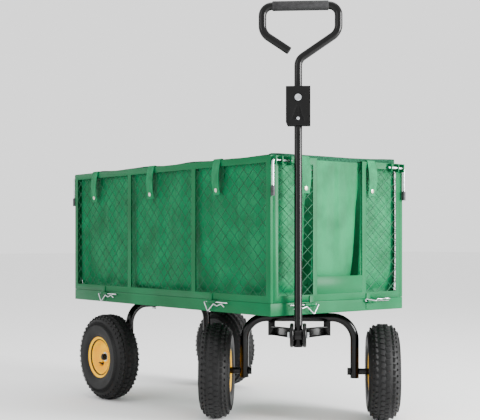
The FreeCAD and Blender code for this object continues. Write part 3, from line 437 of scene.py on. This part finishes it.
def diamond_tree(tree, given):
    """A bay of crossing wires: one pair of crossed wires on every cell of a grid."""
    wide = maths(tree, "DIVIDE", given["Bay Width"], given["Cells Across"])
    tall = maths(tree, "DIVIDE", given["Bay Height"], given["Cells Up"])
    points = add(tree, "GeometryNodeMeshGrid", [
        (maths(tree, "SUBTRACT", given["Bay Width"], wide), "Size X"),
        (maths(tree, "SUBTRACT", given["Bay Height"], tall), "Size Y"),
        (given["Cells Across"], "Vertices X"), (given["Cells Up"], "Vertices Y")])
    squares = maths(tree, "ADD", maths(tree, "MULTIPLY", wide, wide), maths(tree, "MULTIPLY", tall, tall))
    wire = add(tree, "GeometryNodeMeshCylinder", [
        (given["Wire Radius"], "Radius"), (maths(tree, "POWER", squares, 0.5), "Depth")], fill_type="NONE")
    wire.inputs["Vertices"].default_value = 8
    slope = maths(tree, "ARCTAN2", tall, wide)
    both = add(tree, "GeometryNodeJoinGeometry")
    for sign in (1, -1):
        turn = vector(tree, 0, math.pi / 2, maths(tree, "MULTIPLY", slope, float(sign)))
        shift = vector(tree, 0, 0, maths(tree, "MULTIPLY", given["Wire Radius"], 0.55 * sign))
        laid = add(tree, "GeometryNodeTransform", [(wire.outputs["Mesh"], "Geometry"), (turn, "Rotation"),
                                                   (shift, "Translation")])
        tree.links.new(laid.outputs[0], both.inputs[0])
    cells = add(tree, "GeometryNodeInstanceOnPoints", [(points.outputs["Mesh"], "Points"),
                                                       (both.outputs[0], "Instance")])
    real = add(tree, "GeometryNodeRealizeInstances", [(cells.outputs[0], "Geometry")])
    welded = add(tree, "GeometryNodeMergeByDistance", [(real.outputs[0], "Geometry")], Distance=mm(0.02))
    upright = add(tree, "GeometryNodeTransform", [(welded.outputs[0], "Geometry")])
    upright.inputs["Rotation"].default_value = (math.pi / 2, 0, 0)
    return upright.outputs[0]


DIAMOND_SOCKETS = {"Bay Width": "Float", "Bay Height": "Float", "Cells Across": "Int", "Cells Up": "Int",
                   "Wire Radius": "Float", "Material": "Material"}


def wire_bay(across, up, cell=(mm(46), mm(41)), radius=mm(1.1)):
    """The mesh of one bay, centred on its origin in XZ."""
    values = {"Bay Width": across, "Bay Height": up, "Cells Across": max(1, round(across / cell[0])),
              "Cells Up": max(1, round(up / cell[1])), "Wire Radius": radius, "Material": WIRE}
    bay = baked(grow("diamond_wires", diamond_tree, DIAMOND_SOCKETS, values))
    mesh = bay.data
    bpy.data.objects.remove(bay)
    return mesh


def ring_tree(tree, given):
    """Blocks standing round a ring about Z, each with its height along the ring's radius."""
    ring = add(tree, "GeometryNodeMeshCircle", [(given["Count"], "Vertices"), (given["Radius"], "Radius")])
    block = add(tree, "GeometryNodeMeshCube", [(given["Block Size"], "Size")])
    slanted = add(tree, "GeometryNodeTransform", [
        (block.outputs[0], "Geometry"), (vector(tree, given["Slant"], given["Tilt"], 0), "Rotation"),
        (vector(tree, 0, 0, given["Offset"]), "Translation")])
    order = add(tree, "GeometryNodeInputIndex").outputs[0]
    step = maths(tree, "DIVIDE", 2 * math.pi, given["Count"])
    turn = vector(tree, 0, 0, maths(tree, "MULTIPLY", order, step))
    around = add(tree, "GeometryNodeInstanceOnPoints", [
        (ring.outputs[0], "Points"), (slanted.outputs[0], "Instance"), (turn, "Rotation")])
    phase = vector(tree, 0, 0, maths(tree, "MULTIPLY", step, given["Phase"]))
    phased = add(tree, "GeometryNodeTransform", [(around.outputs[0], "Geometry"), (phase, "Rotation")])
    return phased.outputs[0]


RING_SOCKETS = {"Count": "Int", "Radius": "Float", "Block Size": "Vector", "Slant": "Float", "Tilt": "Float",
                "Offset": "Float", "Phase": "Float", "Material": "Material"}


def block_ring(count, radius, size, offset, slant=0.0, tilt=0.0, phase=0.0, edge=mm(1.2)):
    """A ring of tread blocks with rounded edges."""
    values = {"Count": count, "Radius": radius, "Block Size": size, "Slant": math.radians(slant),
              "Tilt": math.radians(tilt), "Offset": offset, "Phase": phase, "Material": TYRE}
    ring = grow("ring_of_blocks", ring_tree, RING_SOCKETS, values)
    if edge:
        bevel = ring.modifiers.new("edge", "BEVEL")
        bevel.width, bevel.segments, bevel.limit_method = edge, 2, "ANGLE"
    mesh = baked(ring).data
    bpy.data.objects.remove(ring)
    return mesh


# ---------------------------------------------------------------- wheels

def turned_outline(points):
    """(radius, height) pairs in millimetres as metres."""
    return [(mm(radius), mm(height)) for radius, height in points]


TURNED_STEPS, TREAD_BLOCKS, SIDE_RIBS = 120, 46, 120
RIM_STEPS = 96


def tyre_mesh():
    """A tyre about Z: a round casing, two staggered centre rows, shoulder rows, edge lugs and fine ribs."""
    bm = bmesh.new()
    half = [(77, 42.5), (79, 44.8), (82, 46.6), (86, 47.2), (88, 49.2), (92, 50.8), (100, 52.7), (110, 53.4),
            (119, 53.2), (120.5, 53.6), (122, 52.8), (129, 51.0), (136, 48.2), (143, 43.8), (149, 38.4),
            (154, 31.6), (158, 23.4), (160.8, 14), (162.2, 6)]
    other_half = [(radius, -height) for radius, height in half[::-1]]
    outline = half + [(162.5, 0)] + other_half + [(66, -40), (66, 40)]
    lathe(bm, turned_outline(outline), TURNED_STEPS, closed=True)
    bmesh.ops.recalc_face_normals(bm, faces=bm.faces)
    for side in (1, -1):
        shift = 0.25 * side
        for radius, size, offset, slant, tilt, phase in (
                (160.9, (7, 17.5, 14.5), 8.8, 16, 3, shift),
                (155.9, (6, 16, 14), 26.0, -14, 22, shift + 0.5),
                (147.2, (4.5, 7, 13), 38.0, -20, 44, shift)):
            block = tuple(mm(length) for length in size)
            bm.from_mesh(block_ring(TREAD_BLOCKS, mm(radius), block, side * mm(offset), side * slant,
                                    side * tilt, phase))
        rib = (mm(14), mm(1.5), mm(1.6))
        bm.from_mesh(block_ring(SIDE_RIBS, mm(132), rib, side * mm(51.9), tilt=side * 14, edge=0))
    mesh = mesh_of(bm, "tyre", angle=40)
    mesh.materials.clear()
    mesh.materials.append(TYRE)
    return mesh


def rim_mesh():
    """A pressed rim about Z: rolled flanges, drop-centre well, dished web with a valve slot, and hub tube."""
    bm = bmesh.new()
    outboard = [(17.6, 17.5), (22, 18), (23, 17), (23.5, 11), (27, 8), (40, 6), (50, 8), (56, 14), (60, 24),
                (64, 34), (68, 39.5), (72, 42), (75, 45), (77.5, 46), (79.6, 44.8), (79.2, 43), (76, 42.4),
                (74, 40), (69, 37), (66.5, 30), (65, 14)]
    inboard = [(65, -14), (66.5, -30), (69, -37), (74, -40), (76, -42.4), (79.2, -43), (79.6, -44.8),
               (77.5, -46), (75, -45), (72, -42), (66, -38), (62, -30), (60, -12), (56, 2), (48, 3), (26, 3),
               (23, 0), (23, -33), (22, -34), (17.6, -34)]
    lathe(bm, turned_outline(outboard + inboard), RIM_STEPS, closed=True)
    rim = bpy.data.objects.new("rim", mesh_of(bm, "rim"))
    cutter_bm = bmesh.new()
    rounded_box(cutter_bm, (-mm(14), -mm(6.5), -mm(12)), (mm(14), mm(6.5), mm(28)), mm(3),
                place=Matrix.Translation((mm(43), 0, 0)) @ Matrix.Rotation(math.radians(24), 4, "Z"))
    cutter = bpy.data.objects.new("valve_slot", mesh_of(cutter_bm, "valve_slot"))
    for obj in (rim, cutter):
        bpy.context.scene.collection.objects.link(obj)
    slot = rim.modifiers.new("valve_slot", "BOOLEAN")
    slot.object, slot.operation, slot.solver = cutter, "DIFFERENCE", "EXACT"
    mesh = baked(rim).data
    for obj in (rim, cutter):
        bpy.data.objects.remove(obj)
    mesh.polygons.foreach_set("use_smooth", [True] * len(mesh.polygons))
    mesh.set_sharp_from_angle(angle=math.radians(38))
    mesh.materials.clear()
    mesh.materials.append(YELLOW)
    return mesh


# degrees that each wheel has rolled from its valve's own place
WHEEL_TURN = {"front_right": 75, "front_left": 160, "rear_right": 40, "rear_left": 250}


def wheels():
    """Four wheels from one tyre and one rim, each set on its own axle."""
    tyre_template, rim_template = tyre_mesh(), rim_mesh()
    for end in ("front", "rear"):
        for side in ("right", "left"):
            label = end + "_" + side
            joint = JOINTS["wheel_spin_" + label]
            axis = Vector(joint["axis"]).normalized()
            outward = axis if (axis.y < 0) == (side == "right") else -axis
            ahead = outward.cross(Vector((0, 0, 1))).normalized()
            down = outward.cross(ahead)
            place = Matrix((ahead, down, outward)).transposed().to_4x4()
            place.translation = Vector(joint["pos_m"])
            rolled = Matrix.Rotation(math.radians(WHEEL_TURN[label]), 4, "Z")
            body = "wheel_" + label
            for kind, template, material, slot in (("tyre", tyre_template, TYRE, "tyre"),
                                                   ("rim", rim_template, YELLOW, "yellow_rim")):
                mesh = template.copy()
                mesh.transform(place @ rolled)
                piece(kind + "_" + label + "_finish", mesh, material, body, kind + "_" + label, slot=slot)
            bm = bmesh.new()
            stem = (rolled @ Matrix.Translation((mm(50), 0, mm(4)))
                    @ Matrix.Rotation(math.radians(-28), 4, "Y"))
            valve = [(0, -3), (5, -3), (5, 2), (3.4, 5), (3.2, 20), (2.6, 21), (2.6, 25), (0, 25)]
            lathe(bm, turned_outline(valve), 20, place @ stem)
            piece("valve_stem_" + label, mesh_of(bm, "valve_stem"), RUBBER, body)
            refined("bearings_" + label, ZINC, mm(0.4))


# ---------------------------------------------------------------- mesh panels

def panel_wires():
    """The wires of each panel, one piece for each body."""
    long_bays = [(-HALF_LONG + SIDE_UPRIGHT, -SIDE_DIVIDER - SIDE_UPRIGHT / 2),
                 (-SIDE_DIVIDER + SIDE_UPRIGHT / 2, SIDE_DIVIDER - SIDE_UPRIGHT / 2),
                 (SIDE_DIVIDER + SIDE_UPRIGHT / 2, HALF_LONG - SIDE_UPRIGHT)]
    outer = (INNER_OFFSET + INNER_UPRIGHT / 2, END_HALF - END_UPRIGHT)
    end_bays = [(-outer[1], -outer[0]), outer]
    middle = [(-INNER_OFFSET + INNER_UPRIGHT / 2, INNER_OFFSET - INNER_UPRIGHT / 2)]
    bays = {"right": long_bays, "left": long_bays, "front": end_bays,
            "rear": end_bays[:1] + middle + end_bays[1:]}
    templates = {}
    for name, spans in bays.items():
        bm = bmesh.new()
        for low, high in spans:
            across, up = high - low + mm(8), PANEL_TALL - 2 * RAIL + mm(8)
            key = round(across, 4)
            if key not in templates:
                templates[key] = wire_bay(across, up)
            mesh = templates[key].copy()
            mesh.transform(Matrix.Translation(((low + high) / 2, mm(3.2), PANEL_TALL / 2)))
            bm.from_mesh(mesh)
        bm.transform(panel_frame(name))
        mesh = mesh_of(bm, name + "_wires", angle=80)
        mesh.materials.clear()
        mesh.materials.append(WIRE)
        node = name + "_panel_mesh"
        piece(name + "_wires", mesh, WIRE, BODY[node], node, slot="green_mesh")


def floor_wires():
    """The bed's welded wire floor, under the tray's flange."""
    low, high = (Vector(corner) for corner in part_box("tray_floor"))
    mesh = wire_bay(high.x - low.x - mm(6), high.y - low.y - mm(6), (mm(56), mm(52)), mm(1.0))
    mesh.transform(Matrix.Rotation(-math.pi / 2, 4, "X"))
    mesh.transform(Matrix.Translation((BED_MID, 0, (low.z + high.z) / 2)))
    mesh.polygons.foreach_set("use_smooth", [True] * len(mesh.polygons))
    piece("tray_floor_wires", mesh, WIRE, BODY["tray_floor"], "tray_floor", slot="green_mesh")


# ---------------------------------------------------------------- straps

STRAP_WIDE, STRAP_HANG, STRAP_THICK = mm(39), mm(116), mm(1.8)
STRAPS = {  # along the panel, outward bow in mm, twist at the end in degrees, narrowing at the snap
    "right": [(mm(-448), 8, 3, 0.12), (mm(-55), 7, -3, 0.05), (mm(338), 7, 2, 0.08)],
    "left": [(mm(-338), 7, -3, 0.1), (mm(55), 8, 2, 0.06), (mm(448), 6, 3, 0.1)],
    "front": [(mm(-160), 7, 2, 0.08), (mm(147), 8, 9, 0.32)],
    "rear": [(mm(-152), 7, -3, 0.1), (mm(152), 8, 3, 0.05)]}


def strap_strip(bm, x, bow, twist, narrow, seed):
    """One strap in a panel's drawing: up from the liner, over the rail and down outside to its snap."""
    top, back = PANEL_TALL, PANEL_DEEP
    path = [(back + mm(2.2), top - mm(62)), (back + mm(2.0), top - mm(34)), (back + mm(1.9), top - mm(12)),
            (back + mm(1.2), top - mm(1.5)), (back - mm(1.0), top + mm(2.0)), (back - mm(4), top + mm(3.6)),
            (mm(4), top + mm(4.2)), (mm(0.4), top + mm(3.2)), (-mm(1.9), top - mm(0.5)),
            (-mm(2.2), top - mm(6))]
    drop = STRAP_HANG - mm(6)
    for n in range(1, 15):
        part = n / 14
        out = mm(1.9) + mm(bow) * math.sin(math.pi * min(part * 1.08, 1)) ** 0.8 + mm(0.8) * part
        path.append((-out, top - mm(6) - drop * part))
    count, across = len(path), 8
    grid = []
    for n, (y, z) in enumerate(path):
        before, after = path[max(0, n - 1)], path[min(count - 1, n + 1)]
        along = Vector((0, after[0] - before[0], after[1] - before[1])).normalized()
        normal = Vector((0, -along.z, along.y))
        part = max(0.0, (n - 9) / 14)
        half = STRAP_WIDE / 2 * (1 - narrow * part ** 2)
        row = []
        for m in range(across + 1):
            u = 2 * m / across - 1
            wave = noise.noise(Vector((x * 9 + u * 1.3, n * 0.33, seed))) * mm(2.2) * part
            lift = mm(1.5) * (1 - u * u) * part + wave
            turned = math.radians(twist) * part
            at = Vector((x + u * half * math.cos(turned), y, z))
            at -= Vector((0, u * half * math.sin(turned), 0))
            outward = normal if normal.y < 0 or n < 9 else -normal
            row.append((at - Vector((0, abs(lift), 0)) if n > 9 else at, outward))
        grid.append(row)
    sides = []
    for sign in (0.5, -0.5):
        sides.append([[bm.verts.new(at + out * STRAP_THICK * sign) for at, out in row] for row in grid])
    top_side, low_side = sides
    for n in range(count - 1):
        for m in range(across):
            for side in sides:
                bm.faces.new((side[n][m], side[n][m + 1], side[n + 1][m + 1], side[n + 1][m]))
        for m in (0, across):
            bm.faces.new((top_side[n][m], top_side[n + 1][m], low_side[n + 1][m], low_side[n][m]))
    for n in (0, count - 1):
        for m in range(across):
            bm.faces.new((top_side[n][m], top_side[n][m + 1], low_side[n][m + 1], low_side[n][m]))
    middle = grid[-3][across // 2]
    length = sum((Vector(a) - Vector(b)).length for a, b in zip(path, path[1:]))
    return middle[0], length


def straps():
    """Each panel's straps, and their snaps."""
    for name, rows in STRAPS.items():
        place = panel_frame(name)
        snaps = bmesh.new()
        body = BODY[name + "_straps"]
        for order, (x, bow, twist, narrow) in enumerate(rows):
            bm = bmesh.new()
            at, length = strap_strip(bm, x, bow, twist, narrow, order * 3.1 + len(name))
            bm.transform(place)
            nodes = (name + "_straps",) if order == 0 else ()
            strip = piece(f"{name}_strap_{order + 1}", mesh_of(bm, "strap", angle=60), STRAP, body, *nodes,
                          slot="green_fabric")
            lean = Matrix.Rotation(math.radians(90 + 8), 4, "X")
            cap = [(0, 0.4), (6.6, 0.4), (7.2, 1.0), (7.0, 2.0), (5.2, 2.5), (4.6, 2.0), (2.2, 2.2), (0, 2.7)]
            lathe(snaps, turned_outline(cap), 28, place @ Matrix.Translation(at) @ lean)
        piece(name + "_snaps", mesh_of(snaps, "snaps"), NICKEL, body, slot="zinc")


# ---------------------------------------------------------------- liner

LINER_LOW, LINER_HIGH = (Vector(corner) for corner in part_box("liner"))
LINER_THICK = mm(1.6)
CELLS = (84, 41, 33)
SLIT_HALF, SLIT_FOOT, HEM_TALL = mm(8), mm(50), mm(36)


def flap_pull(y, part):
    """Where a point of the front wall goes as its flaps draw back from the slits, part way up."""
    edge, full = INNER_OFFSET - SLIT_HALF, LINER_HIGH.y
    open_part = min(1.0, max(0.0, (0.97 - part) / 0.3)) * min(1.0, part / 0.12)
    if 0 < y <= edge:
        return y * (1 - 0.24 * open_part * (0.45 + 0.55 * (1 - part)))
    if y < -(INNER_OFFSET + SLIT_HALF * 0.4):
        inner = INNER_OFFSET + SLIT_HALF * 0.4
        return -(full - (full + y) * (1 - 0.16 * open_part * (full + y) / (full - inner)))
    return y


def rounded(x, y, half_x, half_y, radius):
    """A point of a square-cornered outline moved onto the same outline with rounded corners."""
    if radius <= 0 or abs(x) <= half_x - radius or abs(y) <= half_y - radius:
        return x, y
    inner = Vector((math.copysign(half_x - radius, x), math.copysign(half_y - radius, y)))
    away = Vector((x, y)) - inner
    return tuple(inner + away.normalized() * radius) if away.length > radius else (x, y)


def liner_start():
    """The liner before it hangs: floor grid and walls, wide at the hem straps and drawn in at the corners."""
    nx, ny, nz = CELLS
    half_x, half_y = (LINER_HIGH.x - LINER_LOW.x) / 2 - mm(1.5), LINER_HIGH.y - mm(1.5)
    floor, top = LINER_LOW.z + mm(1.6), LINER_HIGH.z - mm(3)
    bm = bmesh.new()
    grid = {(i, j): bm.verts.new((BED_MID + (2 * i / nx - 1) * half_x, (2 * j / ny - 1) * half_y, floor))
            for i in range(nx + 1) for j in range(ny + 1)}
    for i in range(nx):
        for j in range(ny):
            bm.faces.new((grid[i, j], grid[i + 1, j], grid[i + 1, j + 1], grid[i, j + 1]))
    ring = ([(i, 0) for i in range(nx)] + [(nx, j) for j in range(ny)] + [(i, ny) for i in range(nx, 0, -1)]
            + [(0, j) for j in range(ny, 0, -1)])
    below = [grid[key] for key in ring]
    rows, slits = [], []
    for k in range(1, nz + 1):
        part = k / nz
        row = []
        for i, j in ring:
            x, y = (2 * i / nx - 1) * half_x, (2 * j / ny - 1) * half_y
            x, y = rounded(x, y, half_x, half_y, mm(12) * part ** 0.7)
            if i == nx and 0 < j < ny:
                y = flap_pull(y, part)
            sag = noise.noise(Vector((x * 7, y * 7, 0.5))) * mm(5) * part ** 6
            if i == nx:
                sag += (mm(4) + mm(7) * (0.5 + 0.5 * y / half_y)) * part ** 6
            row.append(bm.verts.new((BED_MID + x, y, floor + (top - floor) * part + sag)))
        for n in range(len(ring)):
            m = (n + 1) % len(ring)
            face = bm.faces.new((below[n], below[m], row[m], row[n]))
            across = abs((2 * (ring[n][1] + 0.5) / ny - 1) * half_y)
            at_slit = ring[n][0] == nx == ring[m][0] and abs(across - INNER_OFFSET) < SLIT_HALF
            if at_slit and floor + SLIT_FOOT < face.calc_center_median().z < top - HEM_TALL:
                slits.append(face)
        below = row
        rows.append(row)
    bmesh.ops.delete(bm, geom=slits, context="FACES")
    bm.verts.index_update()
    hem = [vert.index for vert in rows[-1]]
    held = [vert.index for row in rows[-2:] for vert in row] + [vert.index for vert in grid.values()]
    mesh = bpy.data.meshes.new("liner")
    bm.to_mesh(mesh)
    bm.free()
    return mesh, hem, held


WALL_THICK, LAST_STEP = mm(40), 45  # colliders' thickness, and the steps that the cloth hangs for


def collider(low, high):
    """A block that the liner hangs against while it is simulated."""
    bm = bmesh.new()
    for vert in bmesh.ops.create_cube(bm, size=1)["verts"]:
        vert.co = [low[n] if vert.co[n] < 0 else high[n] for n in range(3)]
    mesh = bpy.data.meshes.new("collider")
    bm.to_mesh(mesh)
    bm.free()
    obj = bpy.data.objects.new("collider", mesh)
    bpy.context.scene.collection.objects.link(obj)
    obj.modifiers.new("collision", "COLLISION")
    obj.collision.thickness_outer, obj.collision.cloth_friction = mm(1), 20
    return obj


def hang(obj, held):
    """Lets the walls hang and crease: the floor and the hem's top rows are held, the rest is free."""
    group = obj.vertex_groups.new(name="held")
    group.add(held, 1.0, "REPLACE")
    high = LINER_HIGH.z + mm(20)
    low = LINER_LOW.z - mm(5)
    x0, x1, y1 = BED_MID - HALF_LONG + PANEL_DEEP, BED_MID + HALF_LONG - PANEL_DEEP, HALF_WIDE - PANEL_DEEP
    walls = [collider((x0 - WALL_THICK, y1, low), (x1 + WALL_THICK, y1 + WALL_THICK, high)),
             collider((x0 - WALL_THICK, -y1 - WALL_THICK, low), (x1 + WALL_THICK, -y1, high)),
             collider((x1, -y1, low), (x1 + WALL_THICK, y1, high)),
             collider((x0 - WALL_THICK, -y1, low), (x0, y1, high))]
    cloth = obj.modifiers.new("cloth", "CLOTH")
    settings = cloth.settings
    settings.quality, settings.mass, settings.air_damping = 6, 0.3, 2.0
    settings.tension_stiffness = settings.compression_stiffness = 20
    settings.shear_stiffness, settings.bending_stiffness = 10, 0.9
    settings.vertex_group_mass, settings.pin_stiffness = "held", 1.0
    settings.shrink_min = -0.03
    settings.use_pressure, settings.uniform_pressure_force = True, 0.35
    cloth.collision_settings.distance_min = mm(2)
    cloth.collision_settings.use_collision = True
    cloth.point_cache.frame_start, cloth.point_cache.frame_end = 1, LAST_STEP
    scene = bpy.context.scene
    for step in range(1, LAST_STEP + 1):
        scene.frame_set(step)
    baked(obj)
    scene.frame_set(1)
    obj.vertex_groups.clear()
    for wall in walls:
        bpy.data.objects.remove(wall)


def within(mesh):
    """Keeps the liner between the panels and above the bed."""
    x0, x1 = BED_MID - HALF_LONG + PANEL_DEEP + mm(1.6), BED_MID + HALF_LONG - PANEL_DEEP - mm(1.6)
    y1 = HALF_WIDE - PANEL_DEEP - mm(1.6)
    for vert in mesh.vertices:
        vert.co.x = min(max(vert.co.x, x0), x1)
        vert.co.y = min(max(vert.co.y, -y1), y1)
        vert.co.z = max(vert.co.z, LINER_LOW.z + mm(1.2))


def hem_band(mesh, hem):
    """Binding tape folded over the liner's top edge, following it."""
    bm = bmesh.new()
    points = [mesh.vertices[n].co.copy() for n in hem]
    count, deep, stand = len(points), mm(13), mm(1.7)
    rings = []
    for n, at in enumerate(points):
        along = points[(n + 1) % count] - points[n - 1]
        out = Vector((along.y, -along.x, 0)).normalized()
        out = out if out.dot(at - Vector((BED_MID, 0, at.z))) > 0 else -out
        wave = mm(0.5) * noise.noise(at * 60)
        section = [(-stand, -deep), (-stand - mm(0.2), -deep / 2), (-stand, 0), (-stand * 0.5, mm(1.6)),
                   (stand * 0.5, mm(1.6)), (stand, 0), (stand + mm(0.3), -deep / 2), (stand, -deep - wave)]
        rings.append([bm.verts.new(at + out * across + Vector((0, 0, up + wave))) for across, up in section])
    for n in range(count):
        one, two = rings[n], rings[(n + 1) % count]
        for m in range(len(one)):
            bm.faces.new((one[m], one[(m + 1) % len(one)], two[(m + 1) % len(one)], two[m]))
    return mesh_of(bm, "hem", angle=50)


def liner():
    """The liner as one hung sheet, with its binding."""
    mesh, hem, held = liner_start()
    obj = bpy.data.objects.new("liner_cloth", mesh)
    bpy.context.scene.collection.objects.link(obj)
    hang(obj, held)
    within(obj.data)
    binding = piece("liner_hem", hem_band(obj.data, hem), HEM_PAINTED_SHADE, "tray", slot="green_fabric")
    thick = obj.modifiers.new("thickness", "SOLIDIFY")
    thick.thickness, thick.offset = LINER_THICK, 0.0
    baked(obj)
    obj.data.polygons.foreach_set("use_smooth", [True] * len(obj.data.polygons))
    obj.data.materials.clear()
    obj.data.materials.append(FABRIC)
    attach(obj, BODY["liner"])
    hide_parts("liner")


# ---------------------------------------------------------------- steel parts

FINISH = {}
for names, material, edge, slot in (
        (("tray_frame",), GREEN, 0.6, "green_frame"),
        (("right_panel_frame", "left_panel_frame", "front_panel_frame", "rear_panel_frame",
          "front_low_plate"), GREEN, 0.5, "green_frame"),
        (("cross_members",), BLACK, 0.8, "black_steel"),
        (("turntable_upper_plate", "turntable_lower_plate", "rear_axle_beam", "front_axle_beam",
          "tongue_arms", "handle_tube", "hitch_bracket", "hand_loop"), BLACK, 0.6, "black_steel"),
        (("clevis_cheeks",), BLACK, 4.0, "black_steel"),
        (("rear_spindles", "rear_axle_nuts", "kingpin", "front_spindles", "front_axle_nuts"), BLACK, 0.4,
         "black_steel"),
        (("rear_axle_bolts", "clevis_bolt", "bracket_bolts"), ZINC, 0.4, "zinc"),
        (("grip",), GRIP, 1.2, "grip")):
    for node in names:
        FINISH[node] = (material, mm(edge), slot)


def sleeve_rubber(rod):
    """Gives a latch rod's sleeve, the lower of its two solids, the rubber finish."""
    rod.data.materials.append(RUBBER)
    bm = bmesh.new()
    bm.from_mesh(rod.data)
    left, islands = set(bm.faces), []
    while left:
        stack, island = [left.pop()], []
        while stack:
            face = stack.pop()
            island.append(face)
            near = {other for edge in face.edges for other in edge.link_faces} & left
            left -= near
            stack += near
        islands.append(island)
    for face in min(islands, key=lambda island: max(vert.co.z for face in island for vert in face.verts)):
        face.material_index = 1
    bm.to_mesh(rod.data)
    bm.free()


def steel():
    """Finished copies of the metal parts."""
    for node, (material, edge, slot) in FINISH.items():
        refined(node, material, edge)
    for node in frame["nodes"]:
        if node.startswith(("latch_rod_", "hinge_clip_")):
            finished = refined(node, ZINC, 0.0)
            if node.startswith("latch_rod_"):
                sleeve_rubber(finished)
    posts = bmesh.new()
    for side in (1, -1):
        middle = side * mm(96)
        rounded_box(posts, (mm(9), middle - mm(12), mm(290)), (mm(12), middle + mm(12), mm(342)), mm(0.8),
                    STEERED)
    piece("tongue_post_webs", mesh_of(posts, "tongue_post_webs"), BLACK, "steering", slot="black_steel")


steel()
wheels()
panel_wires()
floor_wires()
straps()
liner()

# ---------------------------------------------------------------- setting, light and camera


def setting():
    """A pale plain floor, soft light from both sides and above, and the camera."""
    floor = bpy.data.meshes.new("studio_floor")
    bm = bmesh.new()
    bmesh.ops.create_grid(bm, x_segments=1, y_segments=1, size=40)
    bm.to_mesh(floor)
    bm.free()
    material = surface("studio_floor", "#F4F4F4", Roughness=0.9, Specular_IOR_Level=0.1)[0]
    floor.materials.append(material)
    ground = bpy.data.objects.new("studio_floor", floor)
    bpy.context.scene.collection.objects.link(ground)
    world = bpy.data.worlds.new("studio")
    world.use_nodes = True
    world.node_tree.nodes["Background"].inputs["Color"].default_value = (1, 1, 1, 1)
    world.node_tree.nodes["Background"].inputs["Strength"].default_value = 1.6
    bpy.context.scene.world = world
    for name, at, size, power in (("front_softbox", (4.2, 1.8, 1.6), (1.6, 2.4), 520),
                                  ("side_softbox", (0.6, -4.6, 2.2), (1.2, 2.4), 40),
                                  ("top_softbox", (0.2, 0.3, 3.8), (3.0, 2.4), 50)):
        light = bpy.data.lights.new(name, "AREA")
        light.shape, light.size, light.size_y, light.energy = "RECTANGLE", size[0], size[1], power
        lamp = bpy.data.objects.new(name, light)
        bpy.context.scene.collection.objects.link(lamp)
        lamp.location = at
        lamp.rotation_euler = (Vector((0, 0, 0.5)) - Vector(at)).to_track_quat("-Z", "Y").to_euler()
    camera = bpy.data.cameras.new("camera")
    camera.lens, camera.sensor_width, camera.shift_y = 74.6, 36, 0.0635
    camera.clip_end = 100
    eye = bpy.data.objects.new("camera", camera)
    bpy.context.scene.collection.objects.link(eye)
    eye.location = (BED_MID + mm(2966), mm(-2335), mm(618))
    eye.rotation_euler = Vector((-0.777, 0.629, 0)).to_track_quat("-Z", "Y").to_euler()
    bpy.context.scene.camera = eye


setting()
